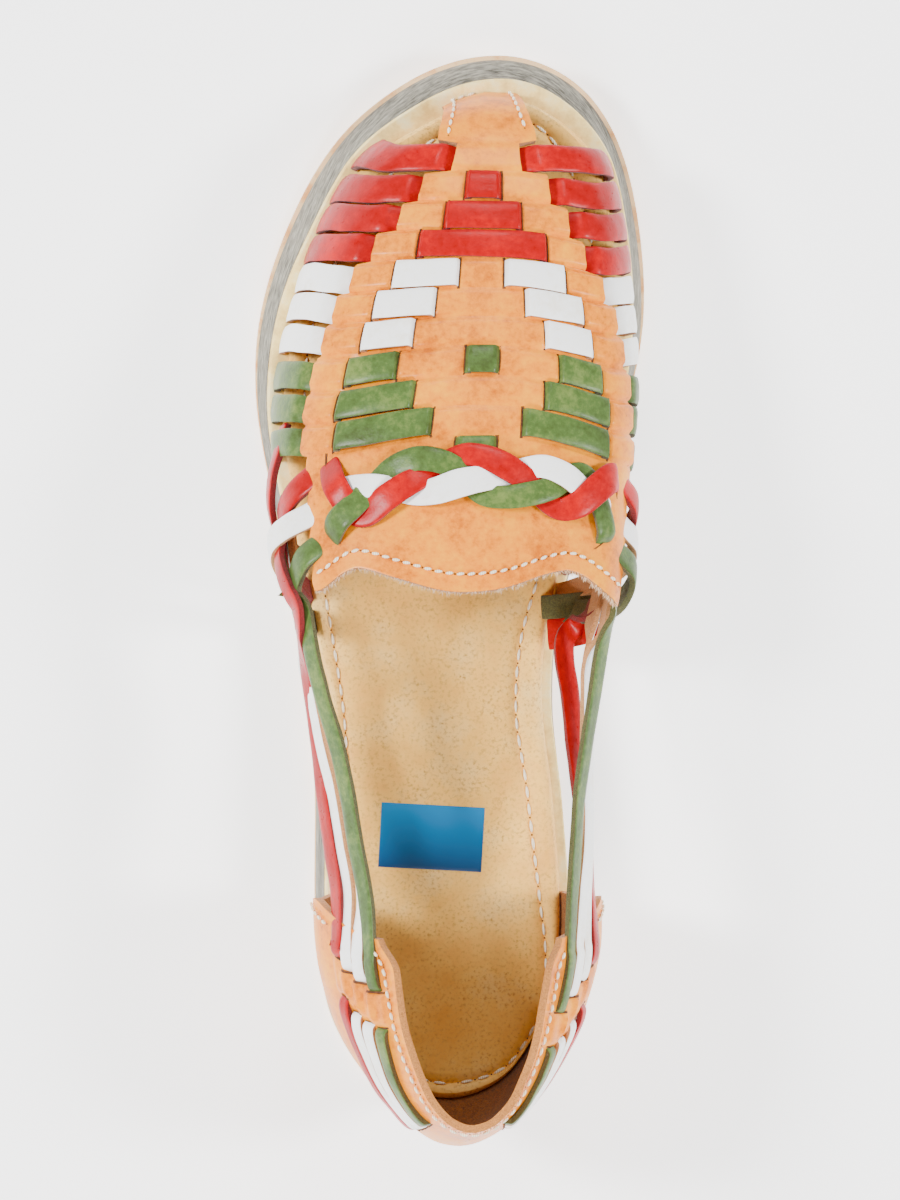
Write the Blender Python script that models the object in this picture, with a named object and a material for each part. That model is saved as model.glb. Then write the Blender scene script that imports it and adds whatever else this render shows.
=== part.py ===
"""Left huarache sandal: a woven leather upper on a layered flat sole, for Blender 4.5.

Metres, +Z up. The origin is on the floor under the middle of the heel, +Y runs to the toe and
+X to the medial (big toe) side. "Along" is measured from the back end of the sole, "round" is
the place on a cross section of the vamp: -1 at the lateral feather edge, 0 at the ridge and
+1 at the medial feather edge. "Lift" is the height above the outer face of the vamp leather.
"""

import bisect
import math

import bmesh
import bpy
from mathutils import Vector

MM = 0.001
LATERAL, MEDIAL = -1, 1

# Sole
SOLE_LENGTH = 252 * MM
BALL_WIDTH = 93.8 * MM
HEEL_CENTRE = 30 * MM
OUTSOLE_THICKNESS = 3.0 * MM
OUTSOLE_CHAMFER = 0.8 * MM
HEEL_BED_HEIGHT = 14.0 * MM
BALL_BED_HEIGHT = 7.8 * MM
WELT_THICKNESS = 3.0 * MM
INSOLE_THICKNESS = 4.0 * MM
TOE_SPRING = 9.0 * MM
ARCH_RISE = 2.5 * MM
CLEARANCE = 0.3 * MM

# How far the upper stands in from the edge of the sole
TOE_MARGIN = 6.5 * MM
WAIST_MARGIN = 2.2 * MM
BEVEL_SHARE = 0.55
SEAM_INSET = 5.5 * MM
SEAM_DEPTH = 0.5 * MM

# Leather
LEATHER = 2.0 * MM
STRAP_THICKNESS = 1.6 * MM
STRAP_WIDTH = 6.8 * MM
STRAP_BITE = 0.35 * MM
BRAID_STRAP_WIDTH = 6.6 * MM

# Where the sole changes, as shares of its length
HEEL_TREAD_END = 0.25
BALL_TREAD_START = 0.51
SPRING_START = 0.68
BED_SLOPE = (0.24, 0.60)
MARGIN_CHANGE = (0.60, 0.79)

# Outline of the outsole: along is a share of SOLE_LENGTH, the sides are shares of BALL_WIDTH
SOLE_OUTLINE = (
    # along, lateral, medial
    (0.000, 0.000, 0.000),
    (0.020, -0.155, 0.160),
    (0.052, -0.229, 0.235),
    (0.100, -0.288, 0.296),
    (0.180, -0.318, 0.330),
    (0.300, -0.320, 0.312),
    (0.390, -0.334, 0.288),
    (0.476, -0.366, 0.312),
    (0.587, -0.431, 0.408),
    (0.675, -0.470, 0.490),
    (0.754, -0.460, 0.528),
    (0.841, -0.388, 0.513),
    (0.920, -0.266, 0.455),
    (0.972, -0.102, 0.352),
    (1.000, 0.144, 0.144),
)

# Ridge of the vamp: along and across are shares of SOLE_LENGTH and BALL_WIDTH, height of INSTEP.
# The swells are how far the walls stand out over the feather edge, as shares of BALL_WIDTH.
INSTEP = 66 * MM
VAMP_FORM = (
    # along, across, height, lateral swell, medial swell
    (0.400, -0.040, 1.120, 0.128, 0.150),
    (0.500, -0.010, 1.000, 0.124, 0.154),
    (0.575, 0.012, 0.925, 0.092, 0.110),
    (0.640, 0.030, 0.860, 0.059, 0.070),
    (0.690, 0.043, 0.806, 0.032, 0.050),
    (0.770, 0.058, 0.722, 0.016, 0.024),
    (0.850, 0.070, 0.645, 0.010, 0.016),
    (0.905, 0.080, 0.575, 0.006, 0.010),
    (0.945, 0.088, 0.490, 0.003, 0.004),
    (0.966, 0.092, 0.390, 0.000, 0.000),
    (0.974, 0.094, 0.295, 0.000, 0.000),
)

# Fullness of the cross section on each side
FULLNESS = {LATERAL: 2.15, MEDIAL: 2.5}


def smooth_step(start, end, x):
    """0 before start, 1 after end, with an even change between."""
    t = max(0.0, min(1.0, (x - start) / (end - start)))
    return t * t * (3 - 2 * t)


def read_curve(xs, ys, x):
    """The smooth curve through (xs, ys), read at x."""
    k = max(0, min(len(xs) - 2, bisect.bisect_right(xs, x) - 1))

    def slope(i):
        low, high = max(0, i - 1), min(len(xs) - 1, i + 1)
        return (ys[high] - ys[low]) / (xs[high] - xs[low])

    width = xs[k + 1] - xs[k]
    t = (x - xs[k]) / width
    return (
        ys[k] * (1 + 2 * t) * (1 - t) ** 2
        + slope(k) * width * t * (1 - t) ** 2
        + ys[k + 1] * t * t * (3 - 2 * t)
        + slope(k + 1) * width * t * t * (t - 1)
    )


def end_angle(share):
    """Turns a share of the length into an angle, in which a round end is an even curve."""
    return math.acos(max(-1.0, min(1.0, 1 - 2 * share)))


def sole_across(along, side):
    """Where the edge of the outsole is, at a distance along it."""
    column = 1 if side == LATERAL else 2
    angles = [end_angle(row[0]) for row in SOLE_OUTLINE]
    shares = [row[column] for row in SOLE_OUTLINE]
    return read_curve(angles, shares, end_angle(along / SOLE_LENGTH)) * BALL_WIDTH


def toe_spring(along):
    start = SPRING_START * SOLE_LENGTH
    return TOE_SPRING * max(0.0, (along - start) / (SOLE_LENGTH - start)) ** 1.8


def ground(along):
    """Underside of the outsole: flat at heel and ball, raised in the arch and at the toe."""
    share = (along / SOLE_LENGTH - HEEL_TREAD_END) / (BALL_TREAD_START - HEEL_TREAD_END)
    arch = ARCH_RISE * math.sin(math.pi * share) ** 2 if 0 < share < 1 else 0.0
    return arch + toe_spring(along)


def bed(along):
    """Top of the midsole."""
    drop = smooth_step(*BED_SLOPE, along / SOLE_LENGTH)
    return HEEL_BED_HEIGHT + (BALL_BED_HEIGHT - HEEL_BED_HEIGHT) * drop + toe_spring(along)


def welt_top(along):
    return bed(along) + CLEARANCE + WELT_THICKNESS


def feather_height(along):
    """Lower edge of the upper, on the welt."""
    return welt_top(along) + CLEARANCE


def margin(along):
    """How far the outer face of the upper stands in from the edge of the outsole."""
    change = smooth_step(*MARGIN_CHANGE, along / SOLE_LENGTH)
    return WAIST_MARGIN + (TOE_MARGIN - WAIST_MARGIN) * change


def bevel(along):
    return BEVEL_SHARE * margin(along)


def outline(stations, inset):
    """Closed outline, heel to toe on the lateral side and back on the medial, moved in by inset(along)."""
    alongs = [SOLE_LENGTH * (1 - math.cos(math.pi * i / stations)) / 2 for i in range(stations + 1)]
    points = [(sole_across(a, LATERAL), a) for a in alongs]
    points += [(sole_across(a, MEDIAL), a) for a in reversed(alongs[1:-1])]
    moved = []
    for i, (x, a) in enumerate(points):
        before, after = points[i - 1], points[(i + 1) % len(points)]
        tangent = Vector((after[0] - before[0], after[1] - before[1])).normalized()
        inward = Vector((tangent.y, -tangent.x))
        moved.append((x + inward.x * inset(a), a + inward.y * inset(a)))
    return moved


FEATHER_STATIONS = 120
_feather = outline(FEATHER_STATIONS, margin)
FEATHER = {
    LATERAL: _feather[: FEATHER_STATIONS + 1],
    MEDIAL: [_feather[0]] + _feather[: FEATHER_STATIONS - 1 : -1],
}
TOE_END = FEATHER[LATERAL][-1][1]
HEEL_END = FEATHER[LATERAL][0][1]


def feather_across(along, side):
    """Where the outer face of the upper meets the welt."""
    points = FEATHER[side]
    alongs = [p[1] for p in points]
    k = max(0, min(len(points) - 2, bisect.bisect_right(alongs, along) - 1))
    share = max(0.0, min(1.0, (along - alongs[k]) / (alongs[k + 1] - alongs[k])))
    return points[k][0] + share * (points[k + 1][0] - points[k][0])


def vamp_form(along, column):
    """Reads one column of VAMP_FORM at a distance along the sole."""
    return read_curve([row[0] for row in VAMP_FORM], [row[column] for row in VAMP_FORM], along / SOLE_LENGTH)


def vamp_face(along, around):
    """A point on the outer face of the vamp leather."""
    side = LATERAL if around < 0 else MEDIAL
    foot = feather_height(along)
    across = vamp_form(along, 1) * BALL_WIDTH
    height = vamp_form(along, 2) * INSTEP
    swell = vamp_form(along, 3 if side == LATERAL else 4) * BALL_WIDTH
    turn = (1 - abs(around)) * math.pi / 2
    power = 2 / FULLNESS[side]
    reach = feather_across(along, side) - across
    x = across + reach * math.cos(turn) ** power + side * swell * math.sin(2 * turn)
    z = foot + max(height - foot, 0.0) * math.sin(turn) ** power
    return Vector((x, along - HEEL_CENTRE, z))


def vamp_normal(along, around):
    step_along, step_round = 0.5 * MM, 0.01
    low, high = max(-1.0, around - step_round), min(1.0, around + step_round)
    by_round = vamp_face(along, high) - vamp_face(along, low)
    by_along = vamp_face(along + step_along, around) - vamp_face(along - step_along, around)
    return by_round.cross(by_along).normalized()


def vamp_point(along, around, lift):
    return vamp_face(along, around) + lift * vamp_normal(along, around)


# Straps across the vamp: along is the middle of the row at the ridge, the bows are how far it
# drops back on each side. At each crossing the strap passes through a slot in the leather.
ROW_HALF_WIDTH = 3.05 * MM
ROWS = (
    # name, along, lateral bow, medial bow, crossings
    ("red_1", 225.0 * MM, 0.0 * MM, 0.0 * MM, (-0.149, 0.104)),
    ("red_2", 217.9 * MM, 0.4 * MM, 1.5 * MM, (-0.266, -0.082, 0.034, 0.209)),
    ("red_3", 210.8 * MM, 0.2 * MM, 2.0 * MM, (-0.328, -0.148, 0.096, 0.281)),
    ("red_4", 204.1 * MM, 0.3 * MM, 3.2 * MM, (-0.409, -0.231, 0.182, 0.346)),
    ("white_5", 197.4 * MM, 1.1 * MM, 3.5 * MM, (-0.474, -0.306, -0.076, 0.041, 0.250, 0.430)),
    ("white_6", 190.7 * MM, 1.3 * MM, 3.6 * MM, (-0.519, -0.355, -0.142, 0.100, 0.313, 0.487)),
    ("white_7", 183.9 * MM, 2.0 * MM, 4.4 * MM, (-0.536, -0.376, -0.199, 0.159, 0.339, 0.512)),
    (
        "green_8", 177.0 * MM, 3.2 * MM, 5.4 * MM,
        (-0.552, -0.410, -0.235, -0.043, 0.033, 0.203, 0.373, 0.545),
    ),
    ("green_9", 170.0 * MM, 4.0 * MM, 5.6 * MM, (-0.549, -0.417, -0.172, 0.156, 0.407, 0.566)),
    ("green_10", 163.2 * MM, 4.6 * MM, 6.3 * MM, (-0.535, -0.403, -0.113, 0.095, 0.402, 0.587)),
)
BACK_EDGE = {LATERAL: -0.510, MEDIAL: 0.600}

# Short straps: the one in front of the braid, and where the braid's strands run down the sides
SHORT_ROWS = (
    # name, along, lateral bow, medial bow, start, end, crossings
    ("green_11", 156.0 * MM, 0.0 * MM, 0.0 * MM, -0.092, 0.080, (-0.051, 0.036)),
    ("lateral_red", 154.6 * MM, 4.0 * MM, 0.0 * MM, -1.0, -0.420, (-0.512,)),
    ("lateral_white", 147.2 * MM, 4.0 * MM, 0.0 * MM, -1.0, -0.400, (-0.496,)),
    ("lateral_green", 139.8 * MM, 4.0 * MM, 0.0 * MM, -1.0, -0.380, (-0.476,)),
    ("medial_red", 154.8 * MM, 0.0 * MM, 5.2 * MM, 0.500, 1.0, (0.598,)),
    ("medial_white", 147.8 * MM, 0.0 * MM, 5.2 * MM, 0.480, 1.0, (0.586,)),
    ("medial_green", 140.8 * MM, 0.0 * MM, 5.2 * MM, 0.440, 1.0, (0.556,)),
)
SLOT_RAMP = 0.012

# Toe tab, lasted over the toe: middle and half width in X
TOE_TAB = (
    # along, middle, half width
    (229.4 * MM, 8.3 * MM, 10.4 * MM),
    (232.0 * MM, 8.2 * MM, 10.5 * MM),
    (236.0 * MM, 7.8 * MM, 9.2 * MM),
    (240.0 * MM, 7.5 * MM, 8.0 * MM),
    (243.0 * MM, 7.4 * MM, 7.6 * MM),
    (244.7 * MM, 7.4 * MM, 7.5 * MM),
)

# Scalloped back edge of the vamp
THROAT = (
    # round, along
    (-0.480, 123.8 * MM),
    (-0.420, 124.6 * MM),
    (-0.331, 128.4 * MM),
    (-0.282, 129.3 * MM),
    (-0.166, 126.8 * MM),
    (-0.036, 124.0 * MM),
    (0.066, 124.6 * MM),
    (0.183, 128.0 * MM),
    (0.260, 128.6 * MM),
    (0.400, 124.0 * MM),
    (0.540, 120.0 * MM),
)
THROAT_EDGE = {LATERAL: -0.455, MEDIAL: 0.520}
SHEET_COLUMNS = 12

# Braid of three strands over the instep. Level is the height in strap thicknesses.
BRAID = {
    "braid_red": (
        # along, round, level
        (153.4 * MM, -0.425, -1.6),
        (150.6 * MM, -0.415, 0.0),
        (144.0 * MM, -0.365, 0.0),
        (141.4 * MM, -0.290, 1.0),
        (147.2 * MM, -0.180, 1.0),
        (154.4 * MM, -0.085, 0.0),
        (154.8 * MM, 0.030, 0.4),
        (149.6 * MM, 0.140, 1.0),
        (142.2 * MM, 0.230, 1.1),
        (144.0 * MM, 0.330, 1.1),
        (150.4 * MM, 0.440, 0.9),
        (153.6 * MM, 0.490, -1.6),
    ),
    "braid_green": (
        (133.5 * MM, -0.440, -1.5),
        (137.0 * MM, -0.425, 0.12),
        (143.4 * MM, -0.345, 1.12),
        (150.8 * MM, -0.250, 0.12),
        (154.6 * MM, -0.150, 0.8),
        (151.4 * MM, -0.040, 1.1),
        (143.6 * MM, 0.060, 0.12),
        (142.8 * MM, 0.150, 0.12),
        (149.4 * MM, 0.250, 0.08),
        (149.0 * MM, 0.350, 0.08),
        (140.2 * MM, 0.430, 0.12),
        (135.6 * MM, 0.470, -1.5),
    ),
    "braid_white": (
        (148.6 * MM, -0.400, -1.3),
        (149.2 * MM, -0.350, -0.1),
        (149.6 * MM, -0.290, 0.8),
        (144.4 * MM, -0.190, -0.1),
        (144.2 * MM, -0.100, 0.6),
        (149.2 * MM, -0.010, 1.0),
        (152.6 * MM, 0.110, -0.1),
        (151.0 * MM, 0.200, 1.0),
        (146.4 * MM, 0.260, -0.1),
        (142.6 * MM, 0.310, -1.3),
    ),
}

# Heel counter: the front edge leans back, the wall bulges over the sole and narrows to the collar
COUNTER_THICKNESS = 2.2 * MM
COUNTER_FRONT_FOOT = 58 * MM
COUNTER_FRONT_TOP = 45 * MM
COLLAR_BACK = 70 * MM
COLLAR_DROP = 4 * MM
COUNTER_FORM = (
    # height, width as a share of the feather edge, back
    (20.0 * MM, 1.00, 0.0 * MM),
    (29.0 * MM, 1.13, -5.2 * MM),
    (38.0 * MM, 1.16, -6.7 * MM),
    (49.0 * MM, 1.03, -5.2 * MM),
    (60.0 * MM, 0.80, -2.4 * MM),
    (66.0 * MM, 0.66, -0.8 * MM),
    (70.0 * MM, 0.61, 0.0 * MM),
)
COUNTER_CELLS = (22, 6)

# Long straps from the vamp to the counter, mirrored from side to side. The middle columns are the
# place along the foot's side, the last is the height on the counter at SIDE_TURNS.
SIDE_STRAP_HALF_WIDTH = 2.9 * MM
SIDE_START = (151 * MM, 134 * MM, 120 * MM)
SIDE_MIDDLE = (93 * MM, 72 * MM)
SIDE_SINK = 1.1 * MM
SIDE_TURNS = (
    # turn, level
    (0.93, 0.3),
    (0.84, 0.0),
    (0.76, 0.0),
    (0.73, -1.0),
    (0.62, -1.0),
    (0.59, 0.0),
    (0.42, 0.0),
    (0.25, 0.0),
    (0.215, -1.0),
    (0.170, -1.0),
)
SIDE_STRAPS = (
    # name, round, half width at SIDE_MIDDLE, heights there, heights on the counter front and back
    ("red", 0.885, (33.6 * MM, 33.2 * MM), (28.5 * MM, 33.5 * MM), 40.5 * MM, 43.5 * MM),
    ("white_low", 0.785, (33.9 * MM, 32.6 * MM), (36.0 * MM, 41.0 * MM), 47.0 * MM, 49.6 * MM),
    ("white_high", 0.685, (33.2 * MM, 30.8 * MM), (43.4 * MM, 48.2 * MM), 53.4 * MM, 55.6 * MM),
    ("green", 0.590, (31.2 * MM, 27.8 * MM), (50.6 * MM, 55.0 * MM), 59.6 * MM, 61.4 * MM),
)


def new_object(name, verts, faces):
    mesh = bpy.data.meshes.new(name)
    mesh.from_pydata([tuple(v) for v in verts], [], faces)
    edit = bmesh.new()
    edit.from_mesh(mesh)
    bmesh.ops.recalc_face_normals(edit, faces=edit.faces)
    edit.to_mesh(mesh)
    edit.free()
    made = bpy.data.objects.new(name, mesh)
    bpy.context.scene.collection.objects.link(made)
    return made


def slab(name, layers, stations=30):
    """Solid through outlines. Each layer is an inset and a height, both functions of along."""
    rings = []
    for inset, height in layers:
        rings.append([(x, a - HEEL_CENTRE, height(a)) for x, a in outline(stations, inset)])
    count = len(rings[0])
    verts = [v for ring in rings for v in ring]
    faces = []
    for r in range(len(rings) - 1):
        for i in range(count):
            j = (i + 1) % count
            faces.append((r * count + i, r * count + j, (r + 1) * count + j, (r + 1) * count + i))
    for start in (0, (len(rings) - 1) * count):
        faces.append((start, start + 1, start + count - 1))
        for i in range(1, stations - 1):
            faces.append((start + i, start + i + 1, start + count - i - 1, start + count - i))
        faces.append((start + stations - 1, start + stations, start + stations + 1))
    return new_object(name, verts, faces)


def loft(stations):
    """Vertices and faces of a bar through four-cornered sections."""
    verts = [corner for section in stations for corner in section]
    faces = [(0, 1, 2, 3)]
    for s in range(len(stations) - 1):
        for c in range(4):
            d = (c + 1) % 4
            faces.append((4 * s + c, 4 * s + d, 4 * s + 4 + d, 4 * s + 4 + c))
    last = 4 * (len(stations) - 1)
    faces.append((last, last + 1, last + 2, last + 3))
    return verts, faces


def gather(name, shells):
    """One object out of several closed shells that don't meet."""
    verts, faces = [], []
    for shell_verts, shell_faces in shells:
        start = len(verts)
        verts += shell_verts
        faces += [tuple(start + i for i in face) for face in shell_faces]
    return new_object(name, verts, faces)


def sheet_shell(outer, inner):
    """Closed shell between two grids of points."""
    rows, columns = len(outer), len(outer[0])
    verts = [p for row in outer for p in row] + [p for row in inner for p in row]
    half = rows * columns

    def at(layer, r, c):
        return layer * half + r * columns + c

    faces = []
    for r in range(rows - 1):
        for c in range(columns - 1):
            faces.append((at(0, r, c), at(0, r, c + 1), at(0, r + 1, c + 1), at(0, r + 1, c)))
            faces.append((at(1, r, c), at(1, r + 1, c), at(1, r + 1, c + 1), at(1, r, c + 1)))
    for r in range(rows - 1):
        for c in (0, columns - 1):
            faces.append((at(0, r, c), at(0, r + 1, c), at(1, r + 1, c), at(1, r, c)))
    for c in range(columns - 1):
        for r in (0, rows - 1):
            faces.append((at(0, r, c), at(1, r, c), at(1, r, c + 1), at(0, r, c + 1)))
    return verts, faces


def row_along(row, around):
    """The middle of a row of straps at a place round the section."""
    away = abs(around)
    bow = row[2] if around < 0 else row[3]
    return row[1] - bow * (smooth_step(0.0, 0.5, away) - 0.5 * smooth_step(0.5, 1.0, away))


def strap_lift(around, crossings, sides_free):
    """Underside of a strap: over the leather, or under it between every second pair of slots."""
    over, under, side = -STRAP_BITE, -LEATHER - STRAP_THICKNESS + STRAP_BITE, -STRAP_THICKNESS
    outside = around < crossings[0] or around > crossings[-1]
    if outside and sides_free:
        gap = crossings[0] - around if around < crossings[0] else around - crossings[-1]
        return under + (side - under) * smooth_step(0.03, 0.16, gap)
    lifts = [under]
    for k in range(len(crossings) - 1):
        lifts.append(under if (k % 2 == 0) == sides_free else over)
    lifts.append(under)
    position = lifts[0]
    for k, crossing in enumerate(crossings):
        share = smooth_step(crossing - SLOT_RAMP, crossing + SLOT_RAMP, around)
        position += (lifts[k + 1] - lifts[k]) * share
    return position


def row_shell(row, start, end, crossings, sides_free=True):
    places = {start, end}
    step = 0.125
    places |= {k * step for k in range(-7, 8) if start + 0.04 < k * step < end - 0.04}
    for crossing in crossings:
        places = {p for p in places if abs(p - crossing) > 3 * SLOT_RAMP or p in (start, end)}
        places |= {crossing - SLOT_RAMP, crossing + SLOT_RAMP}
    if sides_free:
        for edge, way in ((crossings[0], -1), (crossings[-1], 1)):
            for gap in (0.06, 0.16):
                place = edge + way * gap
                if start < place < end:
                    places = {p for p in places if abs(p - place) > 0.03 or p in (start, end)}
                    places.add(place)
    stations = []
    for around in sorted(p for p in places if start <= p <= end):
        middle = row_along(row, around)
        low = strap_lift(around, crossings, sides_free)
        back, front = middle - ROW_HALF_WIDTH, middle + ROW_HALF_WIDTH
        stations.append(
            (
                vamp_point(back, around, low),
                vamp_point(front, around, low),
                vamp_point(front, around, low + STRAP_THICKNESS),
                vamp_point(back, around, low + STRAP_THICKNESS),
            )
        )
    return loft(stations)


def round_at(along, across):
    """The place round the section that has a given X."""
    low, high = -1.0, 1.0
    for _ in range(30):
        middle = (low + high) / 2
        if vamp_face(along, middle).x < across:
            low = middle
        else:
            high = middle
    return (low + high) / 2


def sheet_line(left, right, along_at):
    """One line of the vamp leather from edge to edge, as places along and round."""
    line = []
    for c in range(SHEET_COLUMNS + 1):
        around = left + (right - left) * c / SHEET_COLUMNS
        line.append((along_at(around), around))
    return line


def vamp_lines():
    lines = []
    for along, middle, half in reversed(TOE_TAB):
        left = round_at(along, middle - half)
        right = round_at(along, middle + half)
        lines.append(sheet_line(left, right, lambda around, a=along: a))
    step = 0.3 * MM
    for k, row in enumerate(ROWS):
        ahead = ROWS[k - 1] if k else None
        behind = ROWS[k + 1] if k + 1 < len(ROWS) else None

        def front(around, row=row, ahead=ahead):
            if ahead is None:
                return row_along(row, around) + 3.8 * MM - step
            return (row_along(row, around) + row_along(ahead, around)) / 2 - step

        def back(around, row=row, behind=behind):
            if behind is None:
                return row_along(row, around) - 3.6 * MM
            return (row_along(row, around) + row_along(behind, around)) / 2 + step

        left, right = row[4][0], row[4][-1]
        lines.append(sheet_line(left, right, front))
        lines.append(sheet_line(left, right, back))
    last = ROWS[-1]
    arounds = [row[0] for row in THROAT]
    alongs = [row[1] for row in THROAT]
    for share in (0.25, 0.5, 0.75, 0.92, 1.0):
        left = BACK_EDGE[LATERAL] + (THROAT_EDGE[LATERAL] - BACK_EDGE[LATERAL]) * share
        right = BACK_EDGE[MEDIAL] + (THROAT_EDGE[MEDIAL] - BACK_EDGE[MEDIAL]) * share

        def between(around, share=share):
            start = row_along(last, around) - 3.6 * MM
            return start + (read_curve(arounds, alongs, around) - start) * share

        lines.append(sheet_line(left, right, between))
    return lines


def vamp_shell():
    lines = vamp_lines()
    outer = [[vamp_point(a, r, 0.0) for a, r in line] for line in lines]
    inner = [[vamp_point(a, r, -LEATHER) for a, r in line] for line in lines]
    return sheet_shell(outer, inner)


def spline(points, steps):
    """Catmull-Rom curve through points of any kind that can be added and scaled."""
    curve = []
    for k in range(len(points) - 1):
        p0, p1 = points[max(0, k - 1)], points[k]
        p2, p3 = points[k + 1], points[min(len(points) - 1, k + 2)]
        for s in range(steps):
            t = s / steps
            curve.append(
                0.5 * (2 * p1 + (p2 - p0) * t + (2 * p0 - 5 * p1 + 4 * p2 - p3) * t * t
                       + (3 * p1 - p0 - 3 * p2 + p3) * t ** 3)
            )
    curve.append(points[-1].copy())
    return curve


def band(path, normals, half_width, depths):
    """Flat strap along a path, which is the middle of its underside, with a depth at each point."""
    stations = []
    for k, point in enumerate(path):
        tangent = (path[min(k + 1, len(path) - 1)] - path[max(k - 1, 0)]).normalized()
        up = normals[k].normalized()
        sideways = tangent.cross(up).normalized() * half_width
        outward = sideways.cross(tangent).normalized() * depths[k]
        stations.append(
            (point - sideways, point + sideways, point + sideways + outward, point - sideways + outward)
        )
    return loft(stations)


def braid_shell(rows):
    """A strand that is filled down to the leather under it, so the braid is a step in the wall."""
    path, normals, depths = [], [], []
    for along, around, level in spline([Vector(row) for row in rows], 2):
        under = min(level, 0.0) * STRAP_THICKNESS
        path.append(vamp_point(along, around, under - STRAP_BITE))
        normals.append(vamp_normal(along, around))
        depths.append(level * STRAP_THICKNESS - under + STRAP_THICKNESS)
    return band(path, normals, BRAID_STRAP_WIDTH / 2, depths)


def counter_form(height, column):
    heights = [row[0] for row in COUNTER_FORM]
    return read_curve(heights, [row[column] for row in COUNTER_FORM], height)


def counter_face(turn, height):
    """Outer face of the counter. Turn is -1 at the lateral front edge, 0 at the back, 1 at the medial."""
    side = LATERAL if turn < 0 else MEDIAL
    lean = smooth_step(20 * MM, 66 * MM, height)
    front = COUNTER_FRONT_FOOT + (COUNTER_FRONT_TOP - COUNTER_FRONT_FOOT) * lean
    angle = abs(turn) * math.pi / 2
    base = HEEL_END + (front - HEEL_END) * (1 - math.cos(angle))
    x = feather_across(base, side) * counter_form(height, 1)
    along = base + counter_form(height, 2) * math.cos(angle)
    return Vector((x, along - HEEL_CENTRE, height))


def counter_point(turn, height, lift):
    step_turn, step_up = 0.02, 0.5 * MM
    by_turn = counter_face(turn + step_turn, height) - counter_face(turn - step_turn, height)
    by_up = counter_face(turn, height + step_up) - counter_face(turn, height - step_up)
    normal = by_turn.cross(by_up).normalized()
    return counter_face(turn, height) + lift * normal, normal


def counter_shell():
    turns, rises = COUNTER_CELLS
    outer, inner = [], []
    for i in range(turns + 1):
        turn = -1 + 2 * i / turns
        foot = counter_face(turn, 20 * MM).y + HEEL_CENTRE
        low = feather_height(foot)
        high = COLLAR_BACK - COLLAR_DROP * abs(turn) ** 1.5
        heights = [low + (high - low) * j / rises for j in range(rises + 1)]
        outer.append([counter_point(turn, h, 0.0)[0] for h in heights])
        line = [counter_point(turn, h, -COUNTER_THICKNESS)[0] for h in heights]
        for place, height in ((0, low), (-1, high)):
            line[place].z = height
        inner.append(line)
    return sheet_shell(outer, inner)


def side_strap_shell(side, strap):
    """A long strap: under the straps at the waist, along the foot's side, then over the counter."""
    name, around, widths, heights, height_front, height_back = strap
    points, normals = [], []
    for along in SIDE_START:
        points.append(vamp_point(along, side * around, -SIDE_SINK - STRAP_THICKNESS / 2))
        normals.append(vamp_normal(along, side * around))
    for along, width, height in zip(SIDE_MIDDLE, widths, heights):
        lean = smooth_step(25 * MM, 60 * MM, height)
        normal = Vector((side, 0.0, 0.55 * lean)).normalized()
        points.append(Vector((side * (width - STRAP_THICKNESS), along - HEEL_CENTRE, height)))
        normals.append(normal)
    first, last = SIDE_TURNS[0][0], SIDE_TURNS[-1][0]
    for turn, level in SIDE_TURNS:
        height = height_front + (height_back - height_front) * (first - turn) / (first - last)
        lift = -STRAP_BITE + level * (COUNTER_THICKNESS + STRAP_THICKNESS - 2 * STRAP_BITE)
        point, normal = counter_point(side * turn, height, lift)
        points.append(point)
        normals.append(normal)
    path = spline(points[:6], 3)[:-1] + points[5:]
    facing = spline(normals[:6], 3)[:-1] + normals[5:]
    return band(path, facing, SIDE_STRAP_HALF_WIDTH, [STRAP_THICKNESS] * len(path))


def colour(made, name, rgb, roughness):
    material = bpy.data.materials.new(name)
    material.use_nodes = True
    shader = material.node_tree.nodes["Principled BSDF"]
    shader.inputs["Base Color"].default_value = (*rgb, 1.0)
    shader.inputs["Roughness"].default_value = roughness
    made.data.materials.append(material)


def join_all(target, pieces):
    """Unites the target with all the pieces in one step."""
    group = bpy.data.collections.new("upper_pieces")
    bpy.context.scene.collection.children.link(group)
    for piece in pieces:
        piece.hide_render = True
        piece.display_type = "WIRE"
        group.objects.link(piece)
    modifier = target.modifiers.new("join", "BOOLEAN")
    modifier.operation = "UNION"
    modifier.solver = "EXACT"
    modifier.operand_type = "COLLECTION"
    modifier.collection = group


def insole_inset(along):
    toe = 1.6 * MM * smooth_step(0.88, 0.97, along / SOLE_LENGTH)
    return margin(along) + COUNTER_THICKNESS + 0.6 * MM + toe


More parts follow.
